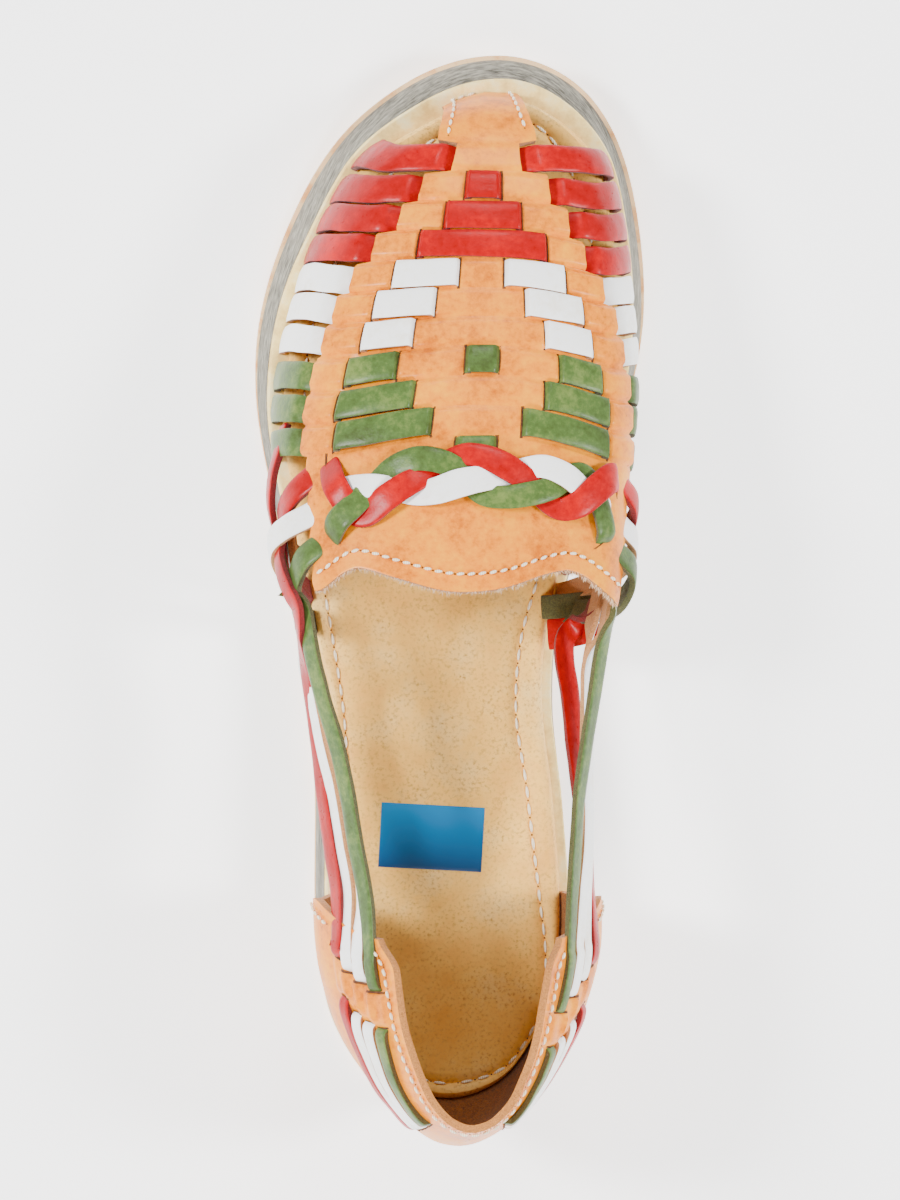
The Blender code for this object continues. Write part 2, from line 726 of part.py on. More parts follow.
def build_sole():
    outsole = slab(
        "outsole",
        (
            (lambda a: OUTSOLE_CHAMFER, ground),
            (lambda a: 0.0, lambda a: ground(a) + OUTSOLE_CHAMFER),
            (lambda a: 0.0, lambda a: ground(a) + OUTSOLE_THICKNESS),
        ),
    )
    midsole = slab(
        "midsole",
        (
            (lambda a: 0.2 * MM, lambda a: ground(a) + OUTSOLE_THICKNESS + CLEARANCE),
            (bevel, bed),
        ),
    )
    welt = slab(
        "welt",
        (
            (lambda a: bevel(a) + 0.2 * MM, lambda a: bed(a) + CLEARANCE),
            (lambda a: bevel(a) + 0.3 * MM, lambda a: welt_top(a) - 0.9 * MM),
            (lambda a: bevel(a) + 1.0 * MM, welt_top),
        ),
    )
    insole = slab(
        "insole",
        (
            (lambda a: insole_inset(a) + 0.6 * MM, feather_height),
            (insole_inset, lambda a: feather_height(a) + 1.1 * MM),
            (insole_inset, lambda a: feather_height(a) + INSOLE_THICKNESS - 1.5 * MM),
            (lambda a: insole_inset(a) + 1.5 * MM, lambda a: feather_height(a) + INSOLE_THICKNESS),
        ),
    )
    colour(outsole, "rubber", (0.80, 0.58, 0.40), 0.6)
    colour(midsole, "microporous_rubber", (0.36, 0.35, 0.33), 0.9)
    colour(welt, "welt_rubber", (0.86, 0.76, 0.55), 0.6)
    colour(insole, "insole_leather", (0.62, 0.38, 0.19), 0.8)


def build_upper():
    upper = gather("upper", [vamp_shell()])
    rows = [row_shell(row, -1.0, 1.0, row[4]) for row in ROWS]
    for row in SHORT_ROWS:
        free = len(row[6]) == 1
        crossings = row[6]
        if free:
            crossings = (row[6][0], 1.4) if row[5] < 0 else (-1.4, row[6][0])
        rows.append(row_shell(row, row[4], row[5], crossings, free))
    pieces = [gather("vamp_straps", rows)]
    pieces += [gather(name, [braid_shell(strand)]) for name, strand in BRAID.items()]
    for name, picks in (("side_straps_1", (0, 2)), ("side_straps_2", (1, 3))):
        shells = [side_strap_shell(side, SIDE_STRAPS[k]) for side in (LATERAL, MEDIAL) for k in picks]
        pieces.append(gather(name, shells))
    pieces.append(gather("counter", [counter_shell()]))
    join_all(upper, pieces)
    colour(upper, "leather", (0.72, 0.42, 0.20), 0.5)


def main():
    for old in list(bpy.data.objects):
        bpy.data.objects.remove(old, do_unlink=True)
    build_sole()
    build_upper()


if __name__ == "__main__":
    main()
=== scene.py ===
"""Looks of a left huarache sandal: plaited leather over a layered sole, in metres, +Z up, toe at +Y."""

import bisect
import math
import random
from collections import namedtuple

import bmesh
import bpy
from bpy.props import FloatProperty, IntProperty, PointerProperty, StringProperty
from mathutils import Matrix, Vector, noise


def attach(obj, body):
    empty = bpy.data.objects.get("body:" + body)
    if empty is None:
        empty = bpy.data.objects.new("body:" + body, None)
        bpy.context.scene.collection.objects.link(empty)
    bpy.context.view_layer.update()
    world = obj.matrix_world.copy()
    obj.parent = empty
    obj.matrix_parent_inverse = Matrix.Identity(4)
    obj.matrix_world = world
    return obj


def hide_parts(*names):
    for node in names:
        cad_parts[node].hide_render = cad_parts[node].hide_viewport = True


bl_info = {
    "name": "Huarache sandal",
    "version": (1, 0, 0),
    "blender": (4, 5, 0),
    "location": "View3D > Sidebar > Huarache",
    "description": "Builds the leather, straps, braid, stitches and layered sole of a huarache",
    "category": "Object",
}

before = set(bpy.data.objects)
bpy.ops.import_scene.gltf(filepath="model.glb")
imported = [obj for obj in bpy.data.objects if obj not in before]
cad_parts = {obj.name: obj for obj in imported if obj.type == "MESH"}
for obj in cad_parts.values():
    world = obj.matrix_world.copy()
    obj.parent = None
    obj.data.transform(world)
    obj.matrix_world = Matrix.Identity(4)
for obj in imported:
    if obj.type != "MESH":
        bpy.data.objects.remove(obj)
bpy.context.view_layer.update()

MM = 0.001
LATERAL, MEDIAL = -1, 1
SOLE_LENGTH = 252 * MM
BALL_WIDTH = 93.8 * MM
HEEL_CENTRE = 30 * MM
OUTSOLE_THICKNESS = 3.0 * MM
HEEL_BED_HEIGHT = 14.0 * MM
BALL_BED_HEIGHT = 7.8 * MM
WELT_THICKNESS = 3.0 * MM
INSOLE_THICKNESS = 4.0 * MM
TOE_SPRING = 9.0 * MM
ARCH_RISE = 2.5 * MM
CLEARANCE = 0.3 * MM
WAIST_MARGIN = 2.2 * MM
BALL_MARGIN = 6.5 * MM
TOE_MARGIN = 9.5 * MM
BEVEL_SHARE = 0.55
WELT_TOE_INSET = 0.8 * MM
WELT_UNEVEN = 0.5 * MM
LEATHER = 2.0 * MM
UPPER_WALL = 1.95 * MM
PAD_REACH = 1.5 * MM
STRAP_THICKNESS = 1.6 * MM
BRAID_THICKNESS = 1.1 * MM
SIDE_STRAP_THICKNESS = 1.3 * MM
INSTEP = 66 * MM

# Where the sole changes, as shares of its length
HEEL_TREAD_END = 0.25
BALL_TREAD_START = 0.51
SPRING_START = 0.68
BED_SLOPE = (0.24, 0.60)
MARGIN_CHANGE = (0.60, 0.79)
TOE_MARGIN_CHANGE = (0.90, 0.985)

# Outline of the outsole: along is a share of SOLE_LENGTH, the sides are shares of BALL_WIDTH
SOLE_OUTLINE = (
    # along, lateral, medial
    (0.000, 0.000, 0.000),
    (0.020, -0.155, 0.160),
    (0.052, -0.229, 0.235),
    (0.100, -0.288, 0.296),
    (0.180, -0.318, 0.330),
    (0.300, -0.320, 0.312),
    (0.390, -0.334, 0.288),
    (0.476, -0.366, 0.312),
    (0.587, -0.431, 0.408),
    (0.675, -0.470, 0.490),
    (0.754, -0.460, 0.528),
    (0.841, -0.388, 0.513),
    (0.920, -0.266, 0.455),
    (0.972, -0.102, 0.352),
    (1.000, 0.144, 0.144),
)

# Ridge of the vamp and how far its walls stand out over the feather edge
VAMP_FORM = (
    # along, across, height, lateral swell, medial swell
    (0.400, -0.040, 1.120, 0.128, 0.150),
    (0.500, -0.010, 1.000, 0.124, 0.154),
    (0.575, 0.012, 0.925, 0.092, 0.110),
    (0.640, 0.030, 0.860, 0.059, 0.070),
    (0.690, 0.043, 0.806, 0.032, 0.050),
    (0.770, 0.058, 0.722, 0.016, 0.024),
    (0.850, 0.070, 0.645, 0.010, 0.016),
    (0.905, 0.080, 0.570, 0.006, 0.010),
    (0.935, 0.086, 0.500, 0.003, 0.004),
    (0.952, 0.090, 0.410, 0.000, 0.000),
    (0.9622, 0.092, 0.300, 0.000, 0.000),
)
FULLNESS = {LATERAL: 2.15, MEDIAL: 2.5}

# Straps across the vamp: along is the middle of the row at the ridge, the bows are how far it
# drops back half way down each side, the feet how far at the sole. At each crossing the strap
# passes through a slot in the leather.
Row = namedtuple("Row", "name along lateral_bow medial_bow lateral_foot medial_foot crossings")
ROWS = tuple(Row(*row) for row in (
    ("red_1", 225.0, 0.0, 0.0, -2.2, 0.0, (-0.149, 0.104)),
    ("red_2", 217.9, 0.4, 1.5, -1.0, 0.3, (-0.266, -0.082, 0.034, 0.209)),
    ("red_3", 210.8, 0.2, 2.0, -1.2, 0.4, (-0.328, -0.148, 0.096, 0.281)),
    ("red_4", 204.1, 0.3, 3.2, -0.6, 1.4, (-0.409, -0.231, 0.182, 0.346)),
    ("white_5", 197.4, 1.1, 3.5, -0.5, 2.0, (-0.474, -0.306, -0.076, 0.041, 0.250, 0.430)),
    ("white_6", 190.7, 1.3, 3.6, -0.3, 2.5, (-0.519, -0.355, -0.142, 0.100, 0.313, 0.487)),
    ("white_7", 183.9, 2.0, 4.4, 0.4, 3.0, (-0.536, -0.376, -0.199, 0.159, 0.339, 0.512)),
    ("green_8", 177.0, 3.2, 5.4, 2.3, 6.4, (-0.552, -0.410, -0.235, -0.043, 0.033, 0.203, 0.373, 0.545)),
    ("green_9", 170.0, 4.0, 5.6, 3.0, 6.8, (-0.549, -0.417, -0.172, 0.156, 0.407, 0.566)),
    ("green_10", 163.2, 4.6, 6.3, 4.8, 8.6, (-0.535, -0.403, -0.113, 0.095, 0.402, 0.587)),
))
SHORT_ROW = Row("green_11", 155.9, 0.0, 0.0, 0.0, 0.0, (-0.051, 0.036))
SHORT_ROW_ENDS = (-0.092, 0.080)
BACK_EDGE = {LATERAL: -0.510, MEDIAL: 0.600}

# Toe tab, lasted over the toe: middle and half width in X
TOE_TAB = (
    # along, middle, half width
    (229.2 * MM, 7.5 * MM, 11.5 * MM),
    (231.5 * MM, 7.6 * MM, 11.2 * MM),
    (234.5 * MM, 7.7 * MM, 10.3 * MM),
    (238.0 * MM, 7.9 * MM, 9.4 * MM),
    (240.6 * MM, 7.9 * MM, 9.0 * MM),
    (242.1 * MM, 7.8 * MM, 8.7 * MM),
)
TAB_SEAM = (241.8 * MM, 230.0 * MM)
TAB_SEAM_INSET = 2.3 * MM

# Scalloped back edge of the vamp
THROAT = (
    # round, along
    (-0.480, 123.8 * MM),
    (-0.420, 124.6 * MM),
    (-0.331, 128.4 * MM),
    (-0.282, 129.3 * MM),
    (-0.166, 126.8 * MM),
    (-0.036, 124.0 * MM),
    (0.066, 124.6 * MM),
    (0.183, 128.0 * MM),
    (0.260, 128.6 * MM),
    (0.400, 124.0 * MM),
    (0.540, 120.0 * MM),
)
THROAT_EDGE = {LATERAL: -0.455, MEDIAL: 0.520}
THROAT_SEAM_INSET = 3.9 * MM

# Braid of three strands over the instep: where each strand lies, its level in strap thicknesses
# over the leather and its half width
BRAID = {
    "red": (
        # along, round, level, half width
        (155.8, -0.445, -1.9, 2.6),
        (152.4, -0.408, -0.5, 2.9),
        (147.2, -0.365, 0.9, 3.2),
        (142.2, -0.315, 0.2, 3.0),
        (141.2, -0.268, 0.1, 3.0),
        (144.6, -0.212, 0.9, 3.3),
        (147.9, -0.155, 1.0, 3.1),
        (150.6, -0.105, 0.3, 2.6),
        (153.4, -0.063, 0.1, 2.6),
        (154.6, -0.022, 0.6, 2.8),
        (153.8, 0.015, 0.9, 3.0),
        (151.7, 0.058, 1.1, 3.2),
        (148.8, 0.110, 0.5, 3.0),
        (145.3, 0.155, 0.0, 2.8),
        (142.6, 0.205, 0.0, 2.8),
        (143.4, 0.262, 0.8, 3.2),
        (147.0, 0.325, 1.1, 3.5),
        (149.6, 0.385, 0.9, 3.5),
        (149.8, 0.432, 0.2, 3.3),
        (149.6, 0.475, -1.9, 3.1),
    ),
    "green": (
        (135.2, -0.404, -1.9, 2.9),
        (137.2, -0.376, 0.0, 3.0),
        (139.8, -0.345, 0.9, 3.1),
        (143.4, -0.298, 0.7, 3.0),
        (147.6, -0.252, 0.0, 2.8),
        (151.5, -0.208, 0.1, 2.8),
        (153.3, -0.150, 0.9, 2.9),
        (153.0, -0.095, 1.1, 2.9),
        (151.4, -0.045, 0.6, 2.7),
        (148.4, -0.010, 0.0, 2.6),
        (145.4, 0.018, 0.2, 2.6),
        (144.7, 0.065, 0.9, 2.8),
        (145.4, 0.118, 1.1, 2.9),
        (147.0, 0.176, 0.7, 2.7),
        (149.6, 0.228, 0.0, 2.6),
        (150.6, 0.280, 0.0, 2.7),
        (147.4, 0.330, -0.1, 2.7),
        (142.6, 0.354, 0.3, 2.7),
        (139.2, 0.369, 0.4, 2.7),
        (136.4, 0.380, 0.0, 2.7),
        (134.2, 0.390, -1.8, 2.6),
    ),
    "white": (
        (147.4, -0.400, -0.3, 2.3),
        (147.4, -0.355, -0.1, 2.6),
        (147.5, -0.312, 0.1, 2.9),
        (147.4, -0.252, 0.6, 2.9),
        (146.9, -0.195, 0.0, 2.9),
        (145.8, -0.140, 0.1, 2.9),
        (146.1, -0.086, 0.9, 3.2),
        (147.8, -0.034, 1.1, 3.4),
        (148.9, 0.009, 0.8, 3.1),
        (149.9, 0.053, 0.1, 2.6),
        (151.5, 0.101, 0.1, 2.6),
        (151.8, 0.155, 0.8, 2.9),
        (150.0, 0.214, 1.0, 3.0),
        (147.2, 0.272, 0.5, 2.8),
        (144.8, 0.335, 0.0, 2.3),
        (143.6, 0.395, -0.2, 1.7),
        (143.0, 0.435, -1.4, 1.5),
    ),
}

# Heel counter: the front edge leans back, the wall bulges over the sole and narrows to the collar
COUNTER_THICKNESS = 2.2 * MM
COUNTER_FRONT_FOOT = 58 * MM
COUNTER_FRONT_TOP = 45 * MM
COLLAR_BACK = 70 * MM
COLLAR_DROP = 4 * MM
COLLAR_SEAM_INSET = 2.6 * MM
COUNTER_FORM = (
    # height, width as a share of the feather edge, back, pinch behind
    (20.0 * MM, 1.00, 0.0 * MM, 0.00),
    (29.0 * MM, 1.17, -5.4 * MM, 0.75),
    (38.0 * MM, 1.21, -6.8 * MM, 1.00),
    (49.0 * MM, 1.06, -5.2 * MM, 0.80),
    (60.0 * MM, 0.81, -2.4 * MM, 0.30),
    (66.0 * MM, 0.66, -0.8 * MM, 0.05),
    (70.0 * MM, 0.61, 0.0 * MM, 0.00),
)
COUNTER_PINCH = 0.30
COUNTER_FRONT_CUT = 0.06
COUNTER_SEAM_TURN = 0.965
FRONT_SEAM = (34, 47)

# Side straps on the counter: lifts over it, turns round it and their width there
BAND_DEPTH = -1.15 * MM
BACK_LIFT = 1.35 * MM
BAND_HUMP = 1.0 * MM
BAND_REACH = 3.1 * MM
BAND_SLOPE = 7.0
BACK_LEVEL_TURN = 0.42
STRAP_END_TURN = 0.24
WIDTH_ON_COUNTER = 0.76
WIDTH_CHANGE = (36 * MM, 60 * MM)
COUNTER_SLOT_TURN = 0.007
COUNTER_SLOT_REACH = 2.3 * MM

# Straps from the waist to the heel. The wall points lie on the vamp's face, with a level in strap
# thicknesses, the air points are free, the band says between which turns the strap passes under
# the counter's slit band, and the heights are there and further back.
SideStrap = namedtuple("SideStrap", "name side colour half_width wall_points air_points band heights")
SIDE_STRAPS = tuple(SideStrap(*strap) for strap in (
    (
        "lateral_green", LATERAL, "green", 2.45,
        ((146, -0.74, -1.0), (140, -0.73, -0.5), (134.2, -0.71, 0.1), (128.5, -0.65, 0.3),
         (124.5, -0.60, 0.5)),
        ((120.2, -36.9, 46.6), (114.8, -35.8, 48.4), (108.0, -34.7, 49.6), (99, -32.5, 50.8),
         (88, -29.3, 52.4), (77, -27.2, 54.0), (66, -25.5, 56.0), (55, -23.6, 58.6)),
        (0.822, 0.712), (61.4, 57.9),
    ),
    (
        "lateral_white_high", LATERAL, "white", 2.6,
        ((140, -0.80, -1.6), (131, -0.74, -1.5), (123, -0.70, -1.4), (115, -0.67, -1.2)),
        ((107, -34.4, 43.8), (99, -31.8, 44.0), (88, -29.7, 45.2), (77, -27.3, 47.8), (65, -26.0, 51.0),
         (55, -24.6, 53.8)),
        (0.842, 0.728), (57.6, 53.4),
    ),
    (
        "lateral_white_low", LATERAL, "white", 2.6,
        ((142, -0.90, -1.5), (133, -0.86, -1.5), (124, -0.82, -1.4), (115, -0.79, -1.2)),
        ((107, -36.0, 36.6), (99, -34.0, 37.0), (88, -32.0, 38.8), (77, -29.6, 42.0), (65, -28.0, 45.6),
         (55, -26.6, 49.4)),
        (0.862, 0.752), (54.0, 49.4),
    ),
    (
        "lateral_red", LATERAL, "red", 2.6,
        ((140.5, -0.665, -0.4), (136.5, -0.655, 0.2), (132, -0.645, 0.9), (128, -0.615, 1.0),
         (124, -0.590, 0.6), (119.5, -0.585, -0.3), (114, -0.63, -0.8)),
        ((105, -35.4, 38.4), (95, -33.5, 35.4), (86, -32.4, 35.8), (77, -31.5, 37.8), (66, -30.3, 41.4),
         (56, -29.0, 45.2)),
        (0.888, 0.790), (50.6, 45.6),
    ),
    (
        "medial_green", MEDIAL, "green", 2.35,
        ((136, 0.62, -1.6), (130, 0.60, -1.4), (124, 0.59, -1.2), (118, 0.585, -1.1)),
        ((111, 33.0, 49.4), (99, 30.9, 50.6), (88, 28.9, 52.0), (77, 27.1, 53.8), (65, 26.0, 55.8),
         (55, 25.0, 57.8)),
        (0.748, 0.636), (61.2, 57.9),
    ),
    (
        "medial_white_high", MEDIAL, "white", 2.6,
        ((138, 0.70, -1.8), (130, 0.69, -1.7), (122, 0.68, -1.6), (116, 0.69, -1.5)),
        ((108, 31.4, 42.6), (99, 30.6, 43.0), (88, 30.3, 44.6), (77, 30.0, 47.4), (65, 29.4, 50.4),
         (55, 28.0, 53.0)),
        (0.790, 0.668), (57.2, 53.2),
    ),
    (
        "medial_white_low", MEDIAL, "white", 2.6,
        ((140, 0.80, -1.6), (131, 0.79, -1.5), (122, 0.79, -1.5), (116, 0.80, -1.5)),
        ((108, 31.8, 36.4), (99, 31.4, 36.8), (88, 31.1, 38.6), (77, 31.1, 41.6), (65, 30.5, 45.2),
         (55, 29.6, 48.8)),
        (0.826, 0.718), (53.4, 49.0),
    ),
    (
        "medial_red", MEDIAL, "red", 2.6,
        ((136, 0.80, -1.0), (130, 0.80, -0.8), (124.5, 0.80, -1.0), (120.5, 0.80, -1.4)),
        ((116.4, 30.2, 26.8), (113, 27.2, 28.4), (107, 26.9, 29.6), (99, 28.1, 31.0), (88, 28.8, 33.4),
         (77, 29.6, 36.6), (66, 30.6, 40.2), (56, 31.2, 43.8)),
        (0.852, 0.752), (48.6, 44.8),
    ),
))

# Ends of the braid and of an outer strap, which run down the wall to the sole
WAIST_STRAPS = (
    # name, colour, half width, wall points
    ("lateral_red_end", "red", 3.1,
     ((153, -0.43, -1.5), (149.8, -0.50, -0.7), (146.3, -0.565, 0.1), (141.6, -0.66, 0.0), (136, -0.79, -0.9),
      (131, -1.0, -0.7))),
    ("lateral_white_end", "white", 3.1,
     ((144.6, -0.42, -1.5), (141.4, -0.49, -0.6), (138.4, -0.575, 0.9), (135.2, -0.68, 1.5),
      (130.5, -0.80, 0.8), (126, -0.92, -0.2), (123.5, -1.0, -0.7))),
    ("lateral_green_end", "green", 3.1,
     ((137, -0.40, -1.5), (134, -0.45, -0.6), (131.2, -0.50, 0.1), (127.8, -0.55, 0.0), (122.5, -0.66, -0.9),
      (118.5, -0.82, -0.9), (116.5, -1.0, -0.7))),
    ("lateral_red_outer", "red", 2.8,
     ((163, -0.74, -1.4), (157, -0.73, -0.5), (151, -0.735, 0.5), (145, -0.745, 0.9), (139.5, -0.76, 0.5),
      (134, -0.79, -0.5), (128, -0.86, -1.2), (123, -1.0, -1.0))),
    ("medial_red_end", "red", 3.1,
     ((152, 0.50, -1.5), (148, 0.56, -0.6), (144.4, 0.63, 0.6), (140.2, 0.71, 0.5), (135, 0.82, -0.6),
      (130.5, 1.0, -0.7))),
    ("medial_white_end", "white", 3.1,
     ((141.6, 0.51, -1.5), (138.6, 0.57, -0.5), (135.6, 0.64, 0.9), (131.6, 0.73, 1.0), (127, 0.84, 0.0),
      (123, 1.0, -0.7))),
    ("medial_green_end", "green", 3.1,
     ((135.2, 0.47, -1.5), (132.4, 0.52, -0.5), (129.4, 0.585, 0.8), (125.6, 0.655, 1.1), (121.6, 0.74, 0.7),
      (119.6, 0.85, -0.2), (119, 1.0, -0.7))),
)

# Slots where the ends of the braid pass through the vamp, each drawn as a dark strip of painted shade from
# one point to another
BRAID_SLOTS = (
    # along, round, along, round
    (155.6, -0.428, 148.2, -0.420),
    (140.2, -0.404, 134.6, -0.350),
    (153.4, 0.458, 145.2, 0.462),
    (133.6, 0.338, 136.6, 0.418),
)

# Ends that turn in under the insole's medial edge, seen through the opening
INNER_STRAPS = (
    # name, face, back, half width, air points
    # medial_green_inner shows the darker flesh-side green on its face: partly its real flesh side, partly
    # painted shade for the shadow inside the waist.
    ("medial_green_inner", "green_raw", "tan_raw", 2.9,
     ((120.2, 22.6, 17.6), (120.5, 26.2, 20.6), (121.0, 30.2, 24.0), (121.6, 33.6, 28.0))),
    ("medial_red_inner", "red", "red_raw", 3.7,
     ((113.8, 24.2, 17.4), (114.2, 27.6, 21.0), (115.0, 31.0, 25.0), (116.2, 34.0, 29.6))),
)

# Distance of the insole's sewn seam from the edge of the outsole
SEAM_INSET = (
    # along, lateral, medial
    (0, 7.8, 7.8),
    (9, 7.0, 5.6),
    (27, 6.4, 5.6),
    (38, 6.2, 7.2),
    (50, 6.1, 9.0),
    (68, 6.2, 10.0),
    (85, 6.4, 10.4),
    (95, 6.4, 10.7),
    (112, 6.0, 10.0),
    (124, 6.2, 8.8),
    (150, 9.0, 9.4),
    (190, 12.0, 12.5),
    (235, 15.0, 15.5),
    (252, 15.5, 15.5),
)
INSOLE_STITCH = 4.1 * MM
STICKER = {"middle": (-4.0, 66.0), "size": (24.5, 15.2), "turn": -3.4}

# How far each long strap leans back in the air: below zero it shows its flesh side from above
AIR_TILT = {
    # name: at the vamp, at the heel
    "lateral_green": (0.62, 0.62),
    "lateral_white_high": (-0.30, -0.10),
    "lateral_white_low": (0.25, 0.30),
    "lateral_red": (0.45, 0.45),
    "medial_green": (0.75, 0.60),
    "medial_white_high": (0.80, 0.60),
    "medial_white_low": (0.55, 0.45),
    "medial_red": (2.6, 0.35),
}

# Studio
CAMERA_TILT = 6.5
CAMERA_LENS = 127.5
CAMERA_SENSOR = 36.0
CAMERA_TARGET = (0.0, 0.092, 0.025)
LAMP_TARGET = (0.0, 0.09, 0.03)
FLOOR_HALF = 3.0
FLOOR_GLOW = 1.35
WORLD_LIGHT = 0.30
LAMPS = (
    # name, place, size, power
    ("left", (-1.10, 0.35, 1.05), 0.36, 33.0),
    ("right", (1.15, 0.05, 1.05), 0.36, 26.0),
    ("front", (0.15, 1.40, 1.10), 0.50, 10.0),
    ("back", (-0.20, -0.95, 1.25), 0.50, 22.0),
)


# Sizes and colours that a user would change

class HuaracheSizes(bpy.types.PropertyGroup):
    strap_half_width: FloatProperty(
        name="Strap half width", description="Half the width of a strap across the vamp",
        default=3.22 * MM, unit="LENGTH",
    )
    crown: FloatProperty(
        name="Crown", description="How much a strap is thicker in the middle",
        default=0.32 * MM, unit="LENGTH",
    )
    hump: FloatProperty(
        name="Hump", description="How far the leather rises over a strap that passes below it",
        default=1.0 * MM, unit="LENGTH",
    )
    stitch: FloatProperty(
        name="Stitch", description="Distance between stitches",
        default=2.5 * MM, unit="LENGTH",
    )
    thread: FloatProperty(
        name="Thread", description="Thickness of the sewing thread",
        default=0.78 * MM, unit="LENGTH",
    )
    columns: IntProperty(
        name="Leather columns", description="Cells across the vamp leather", default=176, min=20,
    )
    fibres: IntProperty(
        name="Fibres", description="Loose fibres along the raw edge of the throat", default=420, min=0,
    )


class HuaracheColours(bpy.types.PropertyGroup):
    tan: StringProperty(name="Tan", description="Vegetable tanned leather, sRGB hex", default="F28A08")
    red: StringProperty(name="Red", description="Red dyed strap, sRGB hex", default="A80007")
    white: StringProperty(name="White", description="White dyed strap, sRGB hex", default="FFFFFC")
    green: StringProperty(name="Green", description="Green dyed strap, sRGB hex", default="4B6430")
    thread: StringProperty(name="Thread", description="Waxed thread, sRGB hex", default="FFF6DE")
    insole: StringProperty(name="Insole", description="Split leather insole, sRGB hex", default="FFC860")
    floor: StringProperty(name="Floor", description="Studio floor, sRGB hex", default="FFFFFF")


# Curves and surfaces of the last

def smooth_step(start, end, x):
    t = max(0.0, min(1.0, (x - start) / (end - start)))
    return t * t * (3 - 2 * t)


def read_curve(xs, ys, x):
    """The smooth curve through (xs, ys), read at x."""
    k = max(0, min(len(xs) - 2, bisect.bisect_right(xs, x) - 1))

    def slope(i):
        low, high = max(0, i - 1), min(len(xs) - 1, i + 1)
        return (ys[high] - ys[low]) / (xs[high] - xs[low])

    width = xs[k + 1] - xs[k]
    t = (x - xs[k]) / width
    return (
        ys[k] * (1 + 2 * t) * (1 - t) ** 2
        + slope(k) * width * t * (1 - t) ** 2
        + ys[k + 1] * t * t * (3 - 2 * t)
        + slope(k + 1) * width * t * t * (t - 1)
    )


def columns_of(table):
    return [[row[c] for row in table] for c in range(len(table[0]))]


def end_angle(share):
    """Turns a share of the length into an angle, in which a round end is an even curve."""
    return math.acos(max(-1.0, min(1.0, 1 - 2 * share)))


SOLE_COLUMNS = columns_of(SOLE_OUTLINE)
SOLE_ANGLES = [end_angle(share) for share in SOLE_COLUMNS[0]]
VAMP_COLUMNS = columns_of(VAMP_FORM)
TAB_COLUMNS = columns_of(TOE_TAB)
COUNTER_COLUMNS = columns_of(COUNTER_FORM)
THROAT_COLUMNS = columns_of(THROAT)
SEAM_COLUMNS = columns_of(SEAM_INSET)


def sole_across(along, side):
    column = SOLE_COLUMNS[1 if side == LATERAL else 2]
    return read_curve(SOLE_ANGLES, column, end_angle(along / SOLE_LENGTH)) * BALL_WIDTH


def toe_spring(along):
    start = SPRING_START * SOLE_LENGTH
    return TOE_SPRING * max(0.0, (along - start) / (SOLE_LENGTH - start)) ** 1.8


def ground(along):
    share = (along / SOLE_LENGTH - HEEL_TREAD_END) / (BALL_TREAD_START - HEEL_TREAD_END)
    arch = ARCH_RISE * math.sin(math.pi * share) ** 2 if 0 < share < 1 else 0.0
    return arch + toe_spring(along)


def bed(along):
    drop = smooth_step(*BED_SLOPE, along / SOLE_LENGTH)
    return HEEL_BED_HEIGHT + (BALL_BED_HEIGHT - HEEL_BED_HEIGHT) * drop + toe_spring(along)


def welt_top(along):
    return bed(along) + CLEARANCE + WELT_THICKNESS


def feather_height(along):
    return welt_top(along) + CLEARANCE


def insole_top(along):
    return feather_height(along) + INSOLE_THICKNESS


def margin(along):
    share = along / SOLE_LENGTH
    ball = (BALL_MARGIN - WAIST_MARGIN) * smooth_step(*MARGIN_CHANGE, share)
    return WAIST_MARGIN + ball + (TOE_MARGIN - BALL_MARGIN) * smooth_step(*TOE_MARGIN_CHANGE, share)


def bevel_in(along):
    return BEVEL_SHARE * margin(along)


def welt_edge(along, side):
    """Inset of the welt's outer edge: it is deeper round the toe, most of all on the outside."""
    share = along / SOLE_LENGTH
    uneven = WELT_UNEVEN * (1 - smooth_step(0.88, 0.98, share)) * (1 if side == LATERAL else -1)
    return bevel_in(along) + (WELT_TOE_INSET + uneven) * smooth_step(0.76, 0.86, share)


def midsole_foot(along):
    """Inset of the midsole where it meets the outsole, a little more round the toe."""
    return 0.1 * MM + 1.0 * MM * smooth_step(0.6, 0.9, along / SOLE_LENGTH)


def insole_inset(along):
    return margin(along) + UPPER_WALL


def pad_inset(along, side):
    """Edge of the padded insole, which reaches over the feet of the waist straps on the outside."""
    near = smooth_step(98 * MM, 112 * MM, along) * (1 - smooth_step(136 * MM, 150 * MM, along))
    return insole_inset(along) - (PAD_REACH * near if side == LATERAL else 0.0)


def seam_inset(along, side):
    """Where the insole's seam runs, measured from the edge of the outsole."""
    return read_curve(SEAM_COLUMNS[0], SEAM_COLUMNS[1 if side == LATERAL else 2], along / MM) * MM


def outline(stations, inset):
    """Outline of the outsole from the heel round by the lateral side, moved in by inset(along, side)."""
    alongs = [SOLE_LENGTH * (1 - math.cos(math.pi * i / stations)) / 2 for i in range(stations + 1)]
    points = [(sole_across(a, LATERAL), a) for a in alongs]
    points += [(sole_across(a, MEDIAL), a) for a in reversed(alongs[1:-1])]
    moved = []
    for i, (x, a) in enumerate(points):
        before, after = points[i - 1], points[(i + 1) % len(points)]
        tangent = Vector((after[0] - before[0], after[1] - before[1])).normalized()
        depth = inset(a, LATERAL if i <= stations else MEDIAL)
        moved.append((x + tangent.y * depth, a - tangent.x * depth))
    return moved


FEATHER_STATIONS = 120
_feather = outline(FEATHER_STATIONS, lambda a, side: margin(a))
FEATHER = {
    LATERAL: columns_of(_feather[: FEATHER_STATIONS + 1]),
    MEDIAL: columns_of([_feather[0]] + _feather[: FEATHER_STATIONS - 1 : -1]),
}
HEEL_END = FEATHER[LATERAL][1][0]


